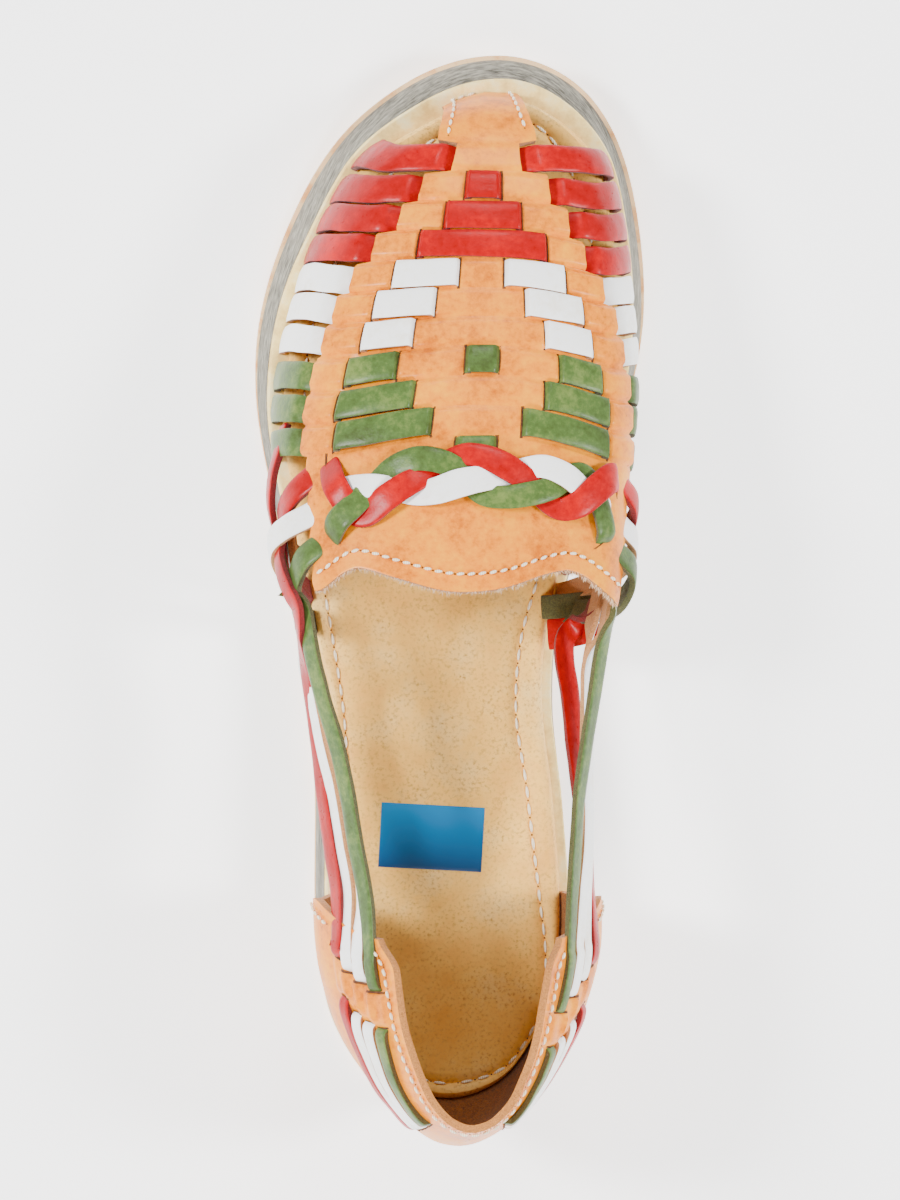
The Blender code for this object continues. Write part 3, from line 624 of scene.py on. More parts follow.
def feather_across(along, side):
    """Where the outer face of the upper meets the welt."""
    across, alongs = FEATHER[side]
    k = max(0, min(len(alongs) - 2, bisect.bisect_right(alongs, along) - 1))
    share = max(0.0, min(1.0, (along - alongs[k]) / (alongs[k + 1] - alongs[k])))
    return across[k] + share * (across[k + 1] - across[k])


def vamp_form(along, column):
    return read_curve(VAMP_COLUMNS[0], VAMP_COLUMNS[column], along / SOLE_LENGTH)


def vamp_face(along, around):
    """A point on the outer face of the vamp leather."""
    side = LATERAL if around < 0 else MEDIAL
    foot = feather_height(along)
    across = vamp_form(along, 1) * BALL_WIDTH
    height = vamp_form(along, 2) * INSTEP
    swell = vamp_form(along, 3 if side == LATERAL else 4) * BALL_WIDTH
    turn = (1 - abs(around)) * math.pi / 2
    power = 2 / FULLNESS[side]
    reach = feather_across(along, side) - across
    x = across + reach * math.cos(turn) ** power + side * swell * math.sin(2 * turn)
    z = foot + max(height - foot, 0.0) * math.sin(turn) ** power
    return Vector((x, along - HEEL_CENTRE, z))


def vamp_normal(along, around):
    low, high = max(-1.0, around - 0.01), min(1.0, around + 0.01)
    by_round = vamp_face(along, high) - vamp_face(along, low)
    by_along = vamp_face(along + 0.5 * MM, around) - vamp_face(along - 0.5 * MM, around)
    return by_round.cross(by_along).normalized()


def vamp_point(along, around, lift):
    return vamp_face(along, around) + lift * vamp_normal(along, around)


def counter_form(height, column):
    return read_curve(COUNTER_COLUMNS[0], COUNTER_COLUMNS[column], height)


def counter_face(turn, height):
    """Outer face of the counter. Turn is -1 at the lateral front edge, 0 at the back, 1 at the medial."""
    side = LATERAL if turn < 0 else MEDIAL
    lean = smooth_step(20 * MM, 66 * MM, height)
    front = COUNTER_FRONT_FOOT + (COUNTER_FRONT_TOP - COUNTER_FRONT_FOOT) * lean
    angle = abs(turn) * math.pi / 2
    base = HEEL_END + (front - HEEL_END) * (1 - math.cos(angle))
    pinch = 0.02 + COUNTER_PINCH * (1 - smooth_step(0.1, 0.9, abs(turn)))
    x = feather_across(base, side) * counter_form(height, 1) * (1 - pinch * counter_form(height, 3))
    along = base + counter_form(height, 2) * math.cos(angle)
    return Vector((x, along - HEEL_CENTRE, height))


def counter_point(turn, height, lift):
    by_turn = counter_face(turn + 0.02, height) - counter_face(turn - 0.02, height)
    by_up = counter_face(turn, height + 0.5 * MM) - counter_face(turn, height - 0.5 * MM)
    normal = by_turn.cross(by_up).normalized()
    return counter_face(turn, height) + lift * normal, normal


# Mesh helpers

def finish_piece(name, mesh, materials, replaced):
    """Makes the object of a finished bmesh, hangs it under the root body and hides the part that it replaces.
    """
    data = bpy.data.meshes.new(name)
    mesh.to_mesh(data)
    mesh.free()
    data.shade_smooth()
    made = bpy.data.objects.new(name, data)
    bpy.context.scene.collection.objects.link(made)
    for material in materials:
        data.materials.append(material)
    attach(made, "root")
    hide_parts(replaced)
    return made


def strip(across, lengthways, place, mesh=None):
    """A grid laid by place(u, v), which gives a point, its outward direction and its UV in metres."""
    mesh = mesh or bmesh.new()
    made = bmesh.ops.create_grid(mesh, x_segments=across, y_segments=lengthways, size=0.5, calc_uvs=True)
    layer = mesh.loops.layers.uv.verify()
    spots = {}
    for vert in made["verts"]:
        point, outward, uv = place(vert.co.x + 0.5, vert.co.y + 0.5)
        vert.co = point
        spots[vert] = (outward, uv)
    faces = list({face for vert in made["verts"] for face in vert.link_faces})
    facing = 0.0
    for face in faces:
        face.normal_update()
        facing += face.normal.dot(spots[face.verts[0]][0])
        for loop in face.loops:
            loop[layer].uv = spots[loop.vert][1]
    if facing < 0:
        bmesh.ops.reverse_faces(mesh, faces=faces)
    return mesh


def thicken(made, depth, edge_width):
    """Gives a strip its thickness on the inner side, a raw back and cut edges, and eases the edges."""
    solid = made.modifiers.new("thickness", "SOLIDIFY")
    solid.thickness = depth
    solid.offset = -1.0
    solid.use_even_offset = False
    solid.material_offset = 1
    solid.material_offset_rim = 1
    ease = made.modifiers.new("eased_edges", "BEVEL")
    ease.width = edge_width
    ease.segments = 2
    ease.limit_method = "ANGLE"
    ease.angle_limit = math.radians(50)
    ease.use_clamp_overlap = True


def spline(points, steps):
    """Catmull-Rom curve through points."""
    curve = []
    for k in range(len(points) - 1):
        p0, p1 = points[max(0, k - 1)], points[k]
        p2, p3 = points[k + 1], points[min(len(points) - 1, k + 2)]
        for s in range(steps):
            t = s / steps
            curve.append(
                0.5 * (2 * p1 + (p2 - p0) * t + (2 * p0 - 5 * p1 + 4 * p2 - p3) * t * t
                       + (3 * p1 - p0 - 3 * p2 + p3) * t ** 3)
            )
    curve.append(points[-1].copy())
    return curve


def run_along(path):
    lengths = [0.0]
    for a, b in zip(path, path[1:]):
        lengths.append(lengths[-1] + (b - a).length)
    return lengths


def band(name, path, normals, widths, crown, materials, across=8, depth=STRAP_THICKNESS, seed=0):
    """A strap whose outer face's middle follows the path; widths are its half widths."""
    lengths = run_along(path)
    tangents = []
    for k in range(len(path)):
        tangents.append((path[min(k + 1, len(path) - 1)] - path[max(k - 1, 0)]).normalized())

    def place(u, v):
        k = round(v * (len(path) - 1))
        sideways = tangents[k].cross(normals[k]).normalized()
        outward = sideways.cross(tangents[k]).normalized()
        offset = 2 * u - 1
        wander = 0.16 * MM * noise.noise(Vector((lengths[k] * 110, seed * 3.7, 0.5 + offset * 0.4)))
        lift = crown * (1 - offset ** 4) - 0.35 * crown
        lift += 0.10 * MM * noise.noise(Vector((lengths[k] * 170, offset * 1.4 + seed, seed * 2.1)))
        point = path[k] + sideways * (widths[k] * offset + wander) + outward * lift
        return point, outward, (widths[k] * offset, lengths[k] + seed * 0.05)

    made = finish_piece(name, strip(across, len(path) - 1, place), materials, "upper")
    thicken(made, depth, 0.26 * MM)
    return made


def slab(name, layers, material, node, stations=110, rungs=10):
    """Closed layer of the sole through outlines; each layer is an inset and a height."""
    rings = [
        [Vector((x, a - HEEL_CENTRE, height(a))) for x, a in outline(stations, inset)]
        for inset, height in layers
    ]
    count = len(rings[0])
    run = run_along(rings[0] + rings[0][:1])
    mesh = bmesh.new()
    ring_index = mesh.verts.layers.int.new("ring_index")
    ring_level = mesh.verts.layers.int.new("ring_level")

    def ladder(ring, level):
        made = bmesh.ops.create_grid(mesh, x_segments=rungs, y_segments=stations, size=0.5)["verts"]
        for vert in made:
            share, i = vert.co.x + 0.5, round((vert.co.y + 0.5) * stations)
            low, high = ring[i], ring[(count - i) % count]
            vert[ring_index] = i if share < 0.5 else (count - i) % count
            vert[ring_level] = level
            vert.co = low.lerp(high, share)

    ladder(rings[0], 0)
    bmesh.ops.reverse_faces(mesh, faces=mesh.faces)
    edges = [e for e in mesh.edges if e.is_boundary]
    edges = [e for e in edges if e.calc_length() > 1e-7]
    for level in range(1, len(rings)):
        made = bmesh.ops.extrude_edge_only(mesh, edges=edges)["geom"]
        for vert in (g for g in made if isinstance(g, bmesh.types.BMVert)):
            vert.co = rings[level][vert[ring_index]]
            vert[ring_level] = level
        edges = [g for g in made if isinstance(g, bmesh.types.BMEdge)]
    ladder(rings[-1], len(rings) - 1)
    bmesh.ops.remove_doubles(mesh, verts=mesh.verts, dist=1e-6)
    bmesh.ops.dissolve_degenerate(mesh, dist=1e-7, edges=mesh.edges)
    bmesh.ops.recalc_face_normals(mesh, faces=mesh.faces)
    layer = mesh.loops.layers.uv.verify()
    for face in mesh.faces:
        levels = {vert[ring_level] for vert in face.verts}
        wraps = {vert[ring_index] for vert in face.verts}
        for loop in face.loops:
            vert = loop.vert
            if len(levels) == 1:
                loop[layer].uv = (vert.co.x, vert.co.y)
                continue
            index = vert[ring_index]
            if index == 0 and max(wraps) > count / 2:
                index = count
            loop[layer].uv = (run[index], vert.co.z)
    made = finish_piece(name, mesh, [material], node)
    made.data.set_sharp_from_angle(angle=math.radians(35))
    return made


def stitches(name, path, normals, pitch, thickness, slant=0.0, node="upper", sink=0.1, gap=0.26):
    """A row of stitches along a path: rounded bars that dip into a hole at each end, with a dark disc of
    painted shade in each hole.
    """
    mesh = bmesh.new()
    hole_shades = bmesh.new()
    lengths = run_along(path)
    count = max(1, int(lengths[-1] / pitch))

    def at(values, distance):
        k = max(0, min(len(path) - 2, bisect.bisect_right(lengths, distance) - 1))
        share = (distance - lengths[k]) / max(1e-9, lengths[k + 1] - lengths[k])
        return values[k] + (values[k + 1] - values[k]) * share

    for s in range(count):
        start, end = at(path, (s + gap / 2) * pitch), at(path, (s + 1 - gap / 2) * pitch)
        up = at(normals, (s + 0.5) * pitch).normalized()
        along = (end - start).normalized()
        along = (along + up.cross(along) * slant).normalized()
        sideways = up.cross(along).normalized()
        turn = Matrix((along, sideways, up)).transposed().to_4x4()
        turn.translation = (start + end) / 2 + up * thickness * (0.5 - sink)
        scale = Matrix.Diagonal(((end - start).length / 2, thickness / 2, thickness / 2, 1.0))
        bmesh.ops.create_uvsphere(mesh, u_segments=8, v_segments=6, radius=1.0, matrix=turn @ scale)
        # Dark disc of painted shade where the thread goes into its hole.
        turn.translation = at(path, (s + 1) * pitch)
        scale = Matrix.Diagonal((0.27 * thickness, 0.27 * thickness, 0.10 * MM, 1.0))
        bmesh.ops.create_uvsphere(hole_shades, u_segments=8, v_segments=4, radius=1.0, matrix=turn @ scale)
    finish_piece(name + "_holes", hole_shades, [MATERIALS["hole"]], node)
    return finish_piece(name, mesh, [MATERIALS["thread"]], node)


# Materials

def linear(hexa):
    """An sRGB hex value as a linear colour."""
    values = [int(hexa[i: i + 2], 16) / 255 for i in (0, 2, 4)]
    return tuple(v / 12.92 if v <= 0.04045 else ((v + 0.055) / 1.055) ** 2.4 for v in values) + (1.0,)


def add(tree, kind, settings=None, links=None):
    """Adds a node. Settings are attributes, sockets or a ramp's stops; links name what feeds a socket."""
    made = tree.nodes.new(kind)
    for key, value in (settings or {}).items():
        if key == "stops":
            elements = made.color_ramp.elements
            while len(elements) < len(value):
                elements.new(0.5)
            for element, (position, hexa) in zip(elements, value):
                element.position = position
                element.color = linear(hexa)
        elif isinstance(key, str) and hasattr(made, key):
            setattr(made, key, value)
        else:
            made.inputs[key].default_value = value
    for key, source in (links or {}).items():
        tree.links.new(source, made.inputs[key])
    return made


def new_material(name, shader_settings):
    material = bpy.data.materials.new(name)
    material.use_nodes = True
    tree = material.node_tree
    shader = tree.nodes["Principled BSDF"]
    for key, value in shader_settings.items():
        shader.inputs[key].default_value = value
    return material, tree, shader


def into_shader(tree, shader, links):
    for key, source in links.items():
        tree.links.new(source, shader.inputs[key])


def grain_leather(name, hexa, light, dark, roughness, grain, coat=0.0, relief=0.35):
    """Leather with its grain side out: fine pores and creases, soft cloudy dye and a waxed sheen."""
    material, tree, shader = new_material(
        name, {"Specular IOR Level": 0.14, "Coat Weight": coat, "Coat Roughness": 0.25})
    where = add(tree, "ShaderNodeTexCoord").outputs["Object"]
    cloud = add(tree, "ShaderNodeTexNoise", {"Scale": 90.0, "Detail": 4.0, "Roughness": 0.6},
                {"Vector": where})
    mottle = add(tree, "ShaderNodeTexNoise", {"Scale": 620.0, "Detail": 4.0, "Roughness": 0.7},
                 {"Vector": where})
    both = add(tree, "ShaderNodeMix", {"data_type": "FLOAT", 0: 0.45},
               {2: cloud.outputs["Fac"], 3: mottle.outputs["Fac"]})
    tint = add(tree, "ShaderNodeValToRGB", {"stops": ((0.36, dark), (0.5, hexa), (0.66, light))},
               {0: both.outputs[0]})
    pores = add(tree, "ShaderNodeTexVoronoi",
                {"Scale": 1 / grain, "feature": "SMOOTH_F1", "Smoothness": 0.6}, {"Vector": where})
    creases = add(tree, "ShaderNodeTexNoise", {"Scale": 0.35 / grain, "Detail": 6.0, "Distortion": 0.8},
                  {"Vector": where})
    height = add(tree, "ShaderNodeMix", {"data_type": "FLOAT", 0: 0.62},
                 {2: pores.outputs["Distance"], 3: creases.outputs["Fac"]})
    bump = add(tree, "ShaderNodeBump", {"Strength": relief, "Distance": 0.16 * MM},
               {"Height": height.outputs[0]})
    rough = add(tree, "ShaderNodeMapRange", {1: 0.3, 2: 0.7, 3: roughness - 0.08, 4: roughness + 0.10},
                {0: mottle.outputs["Fac"]})
    into_shader(tree, shader, {"Base Color": tint.outputs[0],
                               "Roughness": rough.outputs[0],
                               "Normal": bump.outputs[0]})
    return material


def raw_leather(name, hexa, dark, fibre=0.35 * MM):
    """The flesh side and cut edge of leather: matt, fibrous and a little uneven in colour."""
    material, tree, shader = new_material(name, {"IOR": 1.45, "Roughness": 0.95, "Sheen Weight": 0.2})
    where = add(tree, "ShaderNodeTexCoord").outputs["Object"]
    nap = add(tree, "ShaderNodeTexNoise",
              {"Scale": 1 / fibre, "Detail": 6.0, "Roughness": 0.7, "Distortion": 1.2}, {"Vector": where})
    tint = add(tree, "ShaderNodeValToRGB", {"stops": ((0.35, dark), (0.62, hexa))},
               {0: nap.outputs["Fac"]})
    bump = add(tree, "ShaderNodeBump", {"Strength": 0.8, "Distance": 0.25 * MM},
               {"Height": nap.outputs["Fac"]})
    into_shader(tree, shader, {"Base Color": tint.outputs[0], "Normal": bump.outputs[0]})
    return material


def insole_split(name, hexa):
    """Split leather with a short brushed nap, soft clouds and brown flecks of pores."""
    material, tree, shader = new_material(name, {"IOR": 1.45, "Sheen Weight": 0.12})
    where = add(tree, "ShaderNodeTexCoord").outputs["Object"]
    cloud = add(tree, "ShaderNodeTexNoise", {"Scale": 60.0, "Detail": 5.0, "Roughness": 0.65},
                {"Vector": where})
    flecks = add(tree, "ShaderNodeTexNoise", {"Scale": 1200.0, "Detail": 3.0, "Roughness": 0.6},
                 {"Vector": where})
    patches = add(tree, "ShaderNodeTexNoise", {"Scale": 120.0, "Detail": 3.0}, {"Vector": where})
    base = add(tree, "ShaderNodeValToRGB", {"stops": ((0.28, "F4B048"), (0.5, hexa), (0.72, "FFD886"))},
               {0: cloud.outputs["Fac"]})
    fleck = add(tree, "ShaderNodeMapRange", {1: 0.50, 2: 0.74}, {0: flecks.outputs["Fac"]})
    patch = add(tree, "ShaderNodeMapRange", {1: 0.34, 2: 0.62, 3: 0.35, 4: 0.9},
                {0: patches.outputs["Fac"]})
    amount = add(tree, "ShaderNodeMath", {"operation": "MULTIPLY"},
                 {0: fleck.outputs[0], 1: patch.outputs[0]})
    tint = add(tree, "ShaderNodeMix", {"data_type": "RGBA", 7: linear("B67A2C")},
               {0: amount.outputs[0], 6: base.outputs[0]})
    nap = add(tree, "ShaderNodeTexNoise", {"Scale": 1700.0, "Detail": 4.0, "Roughness": 0.7},
              {"Vector": where})
    bump = add(tree, "ShaderNodeBump", {"Strength": 0.4, "Distance": 0.15 * MM},
               {"Height": nap.outputs["Fac"]})
    rough = add(tree, "ShaderNodeMapRange", {1: 0.3, 2: 0.7, 3: 0.55, 4: 0.8},
                {0: cloud.outputs["Fac"]})
    into_shader(tree, shader, {"Base Color": tint.outputs[2],
                               "Roughness": rough.outputs[0],
                               "Normal": bump.outputs[0]})
    return material


def sanded_rubber(name, hexa, light, dark, streak=0.35 * MM):
    """Microporous rubber ground flush on a belt: grey dust streaks that run round the edge."""
    material, tree, shader = new_material(name, {"IOR": 1.5, "Roughness": 0.92})
    where = add(tree, "ShaderNodeTexCoord").outputs["UV"]
    long = add(tree, "ShaderNodeMapping", {"Scale": (0.09, 1.0, 1.0)}, {"Vector": where})
    streaks = add(tree, "ShaderNodeTexNoise", {"Scale": 1 / streak, "Detail": 5.0, "Roughness": 0.65},
                  {"Vector": long.outputs[0]})
    broad = add(tree, "ShaderNodeTexNoise", {"Scale": 160.0, "Detail": 3.0},
                {"Vector": long.outputs[0]})
    both = add(tree, "ShaderNodeMix", {"data_type": "FLOAT", 0: 0.35},
               {2: streaks.outputs["Fac"], 3: broad.outputs["Fac"]})
    tint = add(tree, "ShaderNodeValToRGB", {"stops": ((0.36, dark), (0.5, hexa), (0.64, light))},
               {0: both.outputs[0]})
    bump = add(tree, "ShaderNodeBump", {"Strength": 0.6, "Distance": 0.2 * MM},
               {"Height": streaks.outputs["Fac"]})
    into_shader(tree, shader, {"Base Color": tint.outputs[0], "Normal": bump.outputs[0]})
    return material


def cream_foam(name, hexa, light, dark):
    """Cream foam rubber with a skin that is marked by grinding and handling."""
    material, tree, shader = new_material(name, {"IOR": 1.5, "Roughness": 0.8})
    where = add(tree, "ShaderNodeTexCoord").outputs["Object"]
    cloud = add(tree, "ShaderNodeTexNoise", {"Scale": 150.0, "Detail": 5.0, "Roughness": 0.65},
                {"Vector": where})
    cells = add(tree, "ShaderNodeTexNoise", {"Scale": 1500.0, "Detail": 2.0}, {"Vector": where})
    tint = add(tree, "ShaderNodeValToRGB", {"stops": ((0.35, dark), (0.52, hexa), (0.7, light))},
               {0: cloud.outputs["Fac"]})
    bump = add(tree, "ShaderNodeBump", {"Strength": 0.35, "Distance": 0.12 * MM},
               {"Height": cells.outputs["Fac"]})
    into_shader(tree, shader, {"Base Color": tint.outputs[0], "Normal": bump.outputs[0]})
    return material


def waxed_thread(name, hexa):
    """Waxed polyester thread: a fine twist and a soft shine."""
    material, tree, shader = new_material(name, {"IOR": 1.5, "Roughness": 0.55, "Sheen Weight": 0.2})
    where = add(tree, "ShaderNodeTexCoord").outputs["Object"]
    twist = add(tree, "ShaderNodeTexWave", {"Scale": 700.0, "Distortion": 2.0}, {"Vector": where})
    tint = add(tree, "ShaderNodeValToRGB", {"stops": ((0.1, "DCCBA0"), (0.6, hexa))},
               {0: twist.outputs["Fac"]})
    bump = add(tree, "ShaderNodeBump", {"Strength": 0.3, "Distance": 0.1 * MM},
               {"Height": twist.outputs["Fac"]})
    into_shader(tree, shader, {"Base Color": tint.outputs[0], "Normal": bump.outputs[0]})
    return material


def punched_hole(name):
    """Painted shade: dark colour for the inside of a stitch hole or slot, standing in for the shadow in its
    gap.
    """
    material, tree, shader = new_material(name, {"Roughness": 0.95})
    where = add(tree, "ShaderNodeTexCoord").outputs["Object"]
    nap = add(tree, "ShaderNodeTexNoise", {"Scale": 900.0, "Detail": 3.0}, {"Vector": where})
    # Dark browns of painted shade for the inside of the hole.
    tint = add(tree, "ShaderNodeValToRGB", {"stops": ((0.3, "3A1D0B"), (0.7, "6E3F1C"))},
               {0: nap.outputs["Fac"]})
    into_shader(tree, shader, {"Base Color": tint.outputs[0]})
    return material


def printed_label(name):
    """Blank paper sticker under a gloss film: cyan at its front edge, deep blue at its back."""
    material, tree, shader = new_material(
        name, {"Roughness": 0.3, "Coat Weight": 0.3, "Coat Roughness": 0.15})
    where = add(tree, "ShaderNodeTexCoord").outputs["UV"]
    split = add(tree, "ShaderNodeSeparateXYZ", {}, {0: where})
    tint = add(tree, "ShaderNodeValToRGB", {"stops": ((0.0, "003B6B"), (1.0, "0089CB"))},
               {0: split.outputs[1]})
    into_shader(tree, shader, {"Base Color": tint.outputs[0]})
    return material


def studio_floor(name, hexa):
    """Matt white board lit from behind, so that it stays clean white round the shoe."""
    material, tree, shader = new_material(name, {"Roughness": 0.9, "Emission Strength": FLOOR_GLOW})
    where = add(tree, "ShaderNodeTexCoord").outputs["Object"]
    cloud = add(tree, "ShaderNodeTexNoise", {"Scale": 8.0}, {"Vector": where})
    tint = add(tree, "ShaderNodeValToRGB", {"stops": ((0.3, hexa), (0.7, "FCFCFC"))},
               {0: cloud.outputs["Fac"]})
    into_shader(tree, shader, {"Base Color": tint.outputs[0], "Emission Color": tint.outputs[0]})
    return material


MATERIALS = {}


def make_materials():
    colours = bpy.context.scene.huarache_colours
    MATERIALS["tan"] = grain_leather("vegetable_tanned_leather", colours.tan, "FFA606", "C86400",
                                     0.34, 0.55 * MM, 0.10)
    MATERIALS["tan_raw"] = raw_leather("tan_leather_raw", "D08A42", "8E5422")
    # Darker copy of the raw tan leather: painted shade for the inner face of the heel counter, which lies in
    # deep shadow.
    MATERIALS["lining"] = raw_leather("heel_lining", "9A5E22", "5A300E", 0.6 * MM)
    MATERIALS["red"] = grain_leather("red_dyed_leather", colours.red, "C80002", "980000",
                                     0.33, 0.6 * MM, 0.05)
    MATERIALS["red_raw"] = raw_leather("red_leather_raw", "8E0A0C", "560706")
    MATERIALS["white"] = grain_leather("white_dyed_leather", colours.white, "FFFFFF", "F6F2E8",
                                       0.45, 0.6 * MM, 0.1, 0.25)
    MATERIALS["white_raw"] = raw_leather("white_leather_raw", "DDA06A", "A8703E")
    MATERIALS["green"] = grain_leather("green_dyed_leather", colours.green, "6E8040", "3E4C24",
                                       0.36, 0.5 * MM, 0.08, 0.5)
    MATERIALS["green_raw"] = raw_leather("green_leather_raw", "646030", "2E3216")
    MATERIALS["thread"] = waxed_thread("waxed_thread", colours.thread)
    # Dark painted shade for stitch holes and slots.
    MATERIALS["hole"] = punched_hole("punched_hole")
    MATERIALS["fibre"] = raw_leather("loose_fibre", "FBE0BC", "E8BE8C")
    MATERIALS["label"] = printed_label("blank_blue_label")
    MATERIALS["insole"] = insole_split("insole_split_leather", colours.insole)
    MATERIALS["outsole"] = cream_foam("crepe_rubber", "EEC794", "FCC896", "E09E62")
    MATERIALS["midsole"] = sanded_rubber("sanded_microporous_rubber", "8A867A", "B2AE9F", "45423B")
    MATERIALS["welt"] = cream_foam("cream_foam_rubber", "FFE08E", "FFF0BC", "E4BE70")
    MATERIALS["floor"] = studio_floor("painted_board", colours.floor)


def with_raw_back(colour):
    """The grain side of a dyed leather and its flesh side, as a strap's two materials."""
    return [MATERIALS[colour], MATERIALS[colour + "_raw"]]


# Weave of the vamp

SLOT_RAMP = 0.013
OVER_LIFT = 1.35 * MM
UNDER_LIFT = -1.75 * MM
SIDE_LIFT = 0.25 * MM
SHEET_DIP = 0.6 * MM
ROW_HALF_PITCH = 3.45 * MM
ROW_EDGE = 3.6 * MM
BACK_START = 3.75 * MM
SCALLOP = -0.006
CALM_CENTRE = 0.07
EDGE_WAVE = 0.007
SLOT_REACH = 3.7 * MM
SLOT_WIDTH = 0.6 * MM
BRAID_SLOT_WIDTH = 0.75 * MM

# Lines of the vamp leather in the toe tab, in each row and behind the last row
TAB_LINES, ROW_LINES, BACK_LINES = 34, 13, 64

# Distance between stations of a strap, as a share of the way from the ridge to the sole
ROUND_STEP = 0.016

# Length of that way, for patterns that follow it
ROUND_LENGTH = 75 * MM


def row_along(row, around):
    """Middle of a row: it bows back from the ridge, and further back where its foot meets the sole."""
    bow = row.lateral_bow if around < 0 else row.medial_bow
    foot = row.lateral_foot if around < 0 else row.medial_foot
    away = abs(around)
    drop = bow * smooth_step(0.0, 0.5, away) + (foot - bow) * smooth_step(0.45, 0.85, away)
    return (row.along - drop) * MM


def strap_lift(around, crossings):
    """Top of a strap: over the leather, or under it between every second pair of slots."""
    if around < crossings[0] or around > crossings[-1]:
        gap = crossings[0] - around if around < crossings[0] else around - crossings[-1]
        return UNDER_LIFT + (SIDE_LIFT - UNDER_LIFT) * smooth_step(-0.01, 0.09, gap)
    lift = UNDER_LIFT
    for k, crossing in enumerate(crossings[1:-1]):
        change = OVER_LIFT - UNDER_LIFT if k % 2 == 0 else UNDER_LIFT - OVER_LIFT
        lift += change * smooth_step(crossing - SLOT_RAMP, crossing + SLOT_RAMP, around)
    return lift


def leather_push(along, around):
    """How the straps push the vamp leather: up where they pass below it, down where they lie on it."""
    calm = 0.25 + 0.75 * smooth_step(CALM_CENTRE, CALM_CENTRE + 0.16, abs(around))
    hump = bpy.context.scene.huarache_sizes.hump * calm
    push = 0.0
    for row in ROWS:
        away = abs(along - row_along(row, around)) / ROW_HALF_PITCH
        if away > 1.3:
            continue
        level = hump
        for k, crossing in enumerate(row.crossings[1:-1]):
            change = hump + SHEET_DIP * calm if k % 2 else -(hump + SHEET_DIP * calm)
            level += change * smooth_step(crossing - 0.012, crossing + 0.012, around)
        push += level * (1 - smooth_step(0.55, 1.15, away))
        push -= 0.35 * MM * calm * math.exp(-(((away - 1) / 0.13) ** 2)) * (1 - smooth_step(0.9, 1.3, away))
    return push


def round_at(along, across):
    low, high = -1.0, 1.0
    for _ in range(30):
        middle = (low + high) / 2
        if vamp_face(along, middle).x < across:
            low = middle
        else:
            high = middle
    return (low + high) / 2


def throat_along(around):
    return read_curve(THROAT_COLUMNS[0], THROAT_COLUMNS[1], around)


def tab_round(along, side, inset=0.0):
    """Edge of the toe tab, moved in by inset."""
    middle = read_curve(TAB_COLUMNS[0], TAB_COLUMNS[1], along)
    half = read_curve(TAB_COLUMNS[0], TAB_COLUMNS[2], along)
    return round_at(along, middle + side * (half - inset))


def sheet_lines():
    """Lines of the vamp leather from toe to throat: left edge, right edge and the place along."""
    lines = []
    front, back = TAB_COLUMNS[0][-1], TAB_COLUMNS[0][0]
    for k in range(TAB_LINES + 1):
        along = front + (back - front) * k / TAB_LINES
        lines.append((tab_round(along, LATERAL), tab_round(along, MEDIAL), lambda around, a=along: a))
    for k, row in enumerate(ROWS):

        def row_edge(around, row=row, other=ROWS[k - 1] if k else None, step=ROW_EDGE):
            return row_along(row, around) + step if other is None else (
                row_along(row, around) + row_along(other, around)) / 2

        def back_edge(around, row=row, other=ROWS[k + 1] if k + 1 < len(ROWS) else None):
            return row_edge(around, row, other, -ROW_EDGE)

        for s in range(ROW_LINES):
            share = 0.03 + 0.94 * s / (ROW_LINES - 1)
            bulge = SCALLOP * (math.sin(math.pi * share) - 0.5)
            lines.append((
                row.crossings[0] - bulge, row.crossings[-1] + bulge,
                lambda around, p=row_edge, q=back_edge, t=share: p(around) + (q(around) - p(around)) * t,
            ))
    for s in range(BACK_LINES + 1):
        share = s / BACK_LINES
        wave = EDGE_WAVE * math.sin(share * 7 * math.pi)
        left = BACK_EDGE[LATERAL] + (THROAT_EDGE[LATERAL] - BACK_EDGE[LATERAL]) * share
        right = BACK_EDGE[MEDIAL] + (THROAT_EDGE[MEDIAL] - BACK_EDGE[MEDIAL]) * share

        def between(around, share=share):
            start = row_along(ROWS[-1], around) - BACK_START
            return start + (throat_along(around) - start) * share

        lines.append((left - wave, right + wave, between))
    return lines


def make_vamp():
    lines = sheet_lines()

    def place(u, v):
        left, right, along_at = lines[round(v * (len(lines) - 1))]
        around = left + (right - left) * u
        along = along_at(around)
        normal = vamp_normal(along, around)
        ripple = 0.14 * MM * noise.noise(vamp_face(along, around) * 70)
        lift = leather_push(along, around) + ripple
        return vamp_face(along, around) + lift * normal, normal, (around * ROUND_LENGTH, along)

    mesh = strip(bpy.context.scene.huarache_sizes.columns, len(lines) - 1, place)
    made = finish_piece("vamp_leather", mesh, with_raw_back("tan"), "upper")
    thicken(made, LEATHER * 0.8, 0.2 * MM)


def slot_shade(mesh, start, end, width, rise):
    """Dark strip of painted shade along a slot through the vamp leather; start and end are places along and
    round.
    """

    def place(u, v):
        along = start[0] + (end[0] - start[0]) * v
        around = start[1] + (end[1] - start[1]) * v + (u - 0.5) * width / ROUND_LENGTH
        normal = vamp_normal(along, around)
        lift = leather_push(along, around) + rise * math.sin(math.pi * u) * math.sin(math.pi * v)
        return vamp_face(along, around) + lift * normal, normal, (around, along)

    strip(2, 10, place, mesh)


def make_slot_shades():
    """Dark strips of painted shade at the slots where the straps and the ends of the braid pass through the
    vamp leather.
    """
    mesh = bmesh.new()
    for row in ROWS + (SHORT_ROW,):
        for crossing in row.crossings if row is SHORT_ROW else row.crossings[1:-1]:
            along = row_along(row, crossing)
            slot_shade(mesh, (along - SLOT_REACH, crossing), (along + SLOT_REACH, crossing),
                      SLOT_WIDTH, 0.34 * MM)
    for start, start_round, end, end_round in BRAID_SLOTS:
        slot_shade(mesh, (start * MM, start_round), (end * MM, end_round), BRAID_SLOT_WIDTH, 0.4 * MM)
    finish_piece("slot_edges", mesh, [MATERIALS["hole"]], "upper")


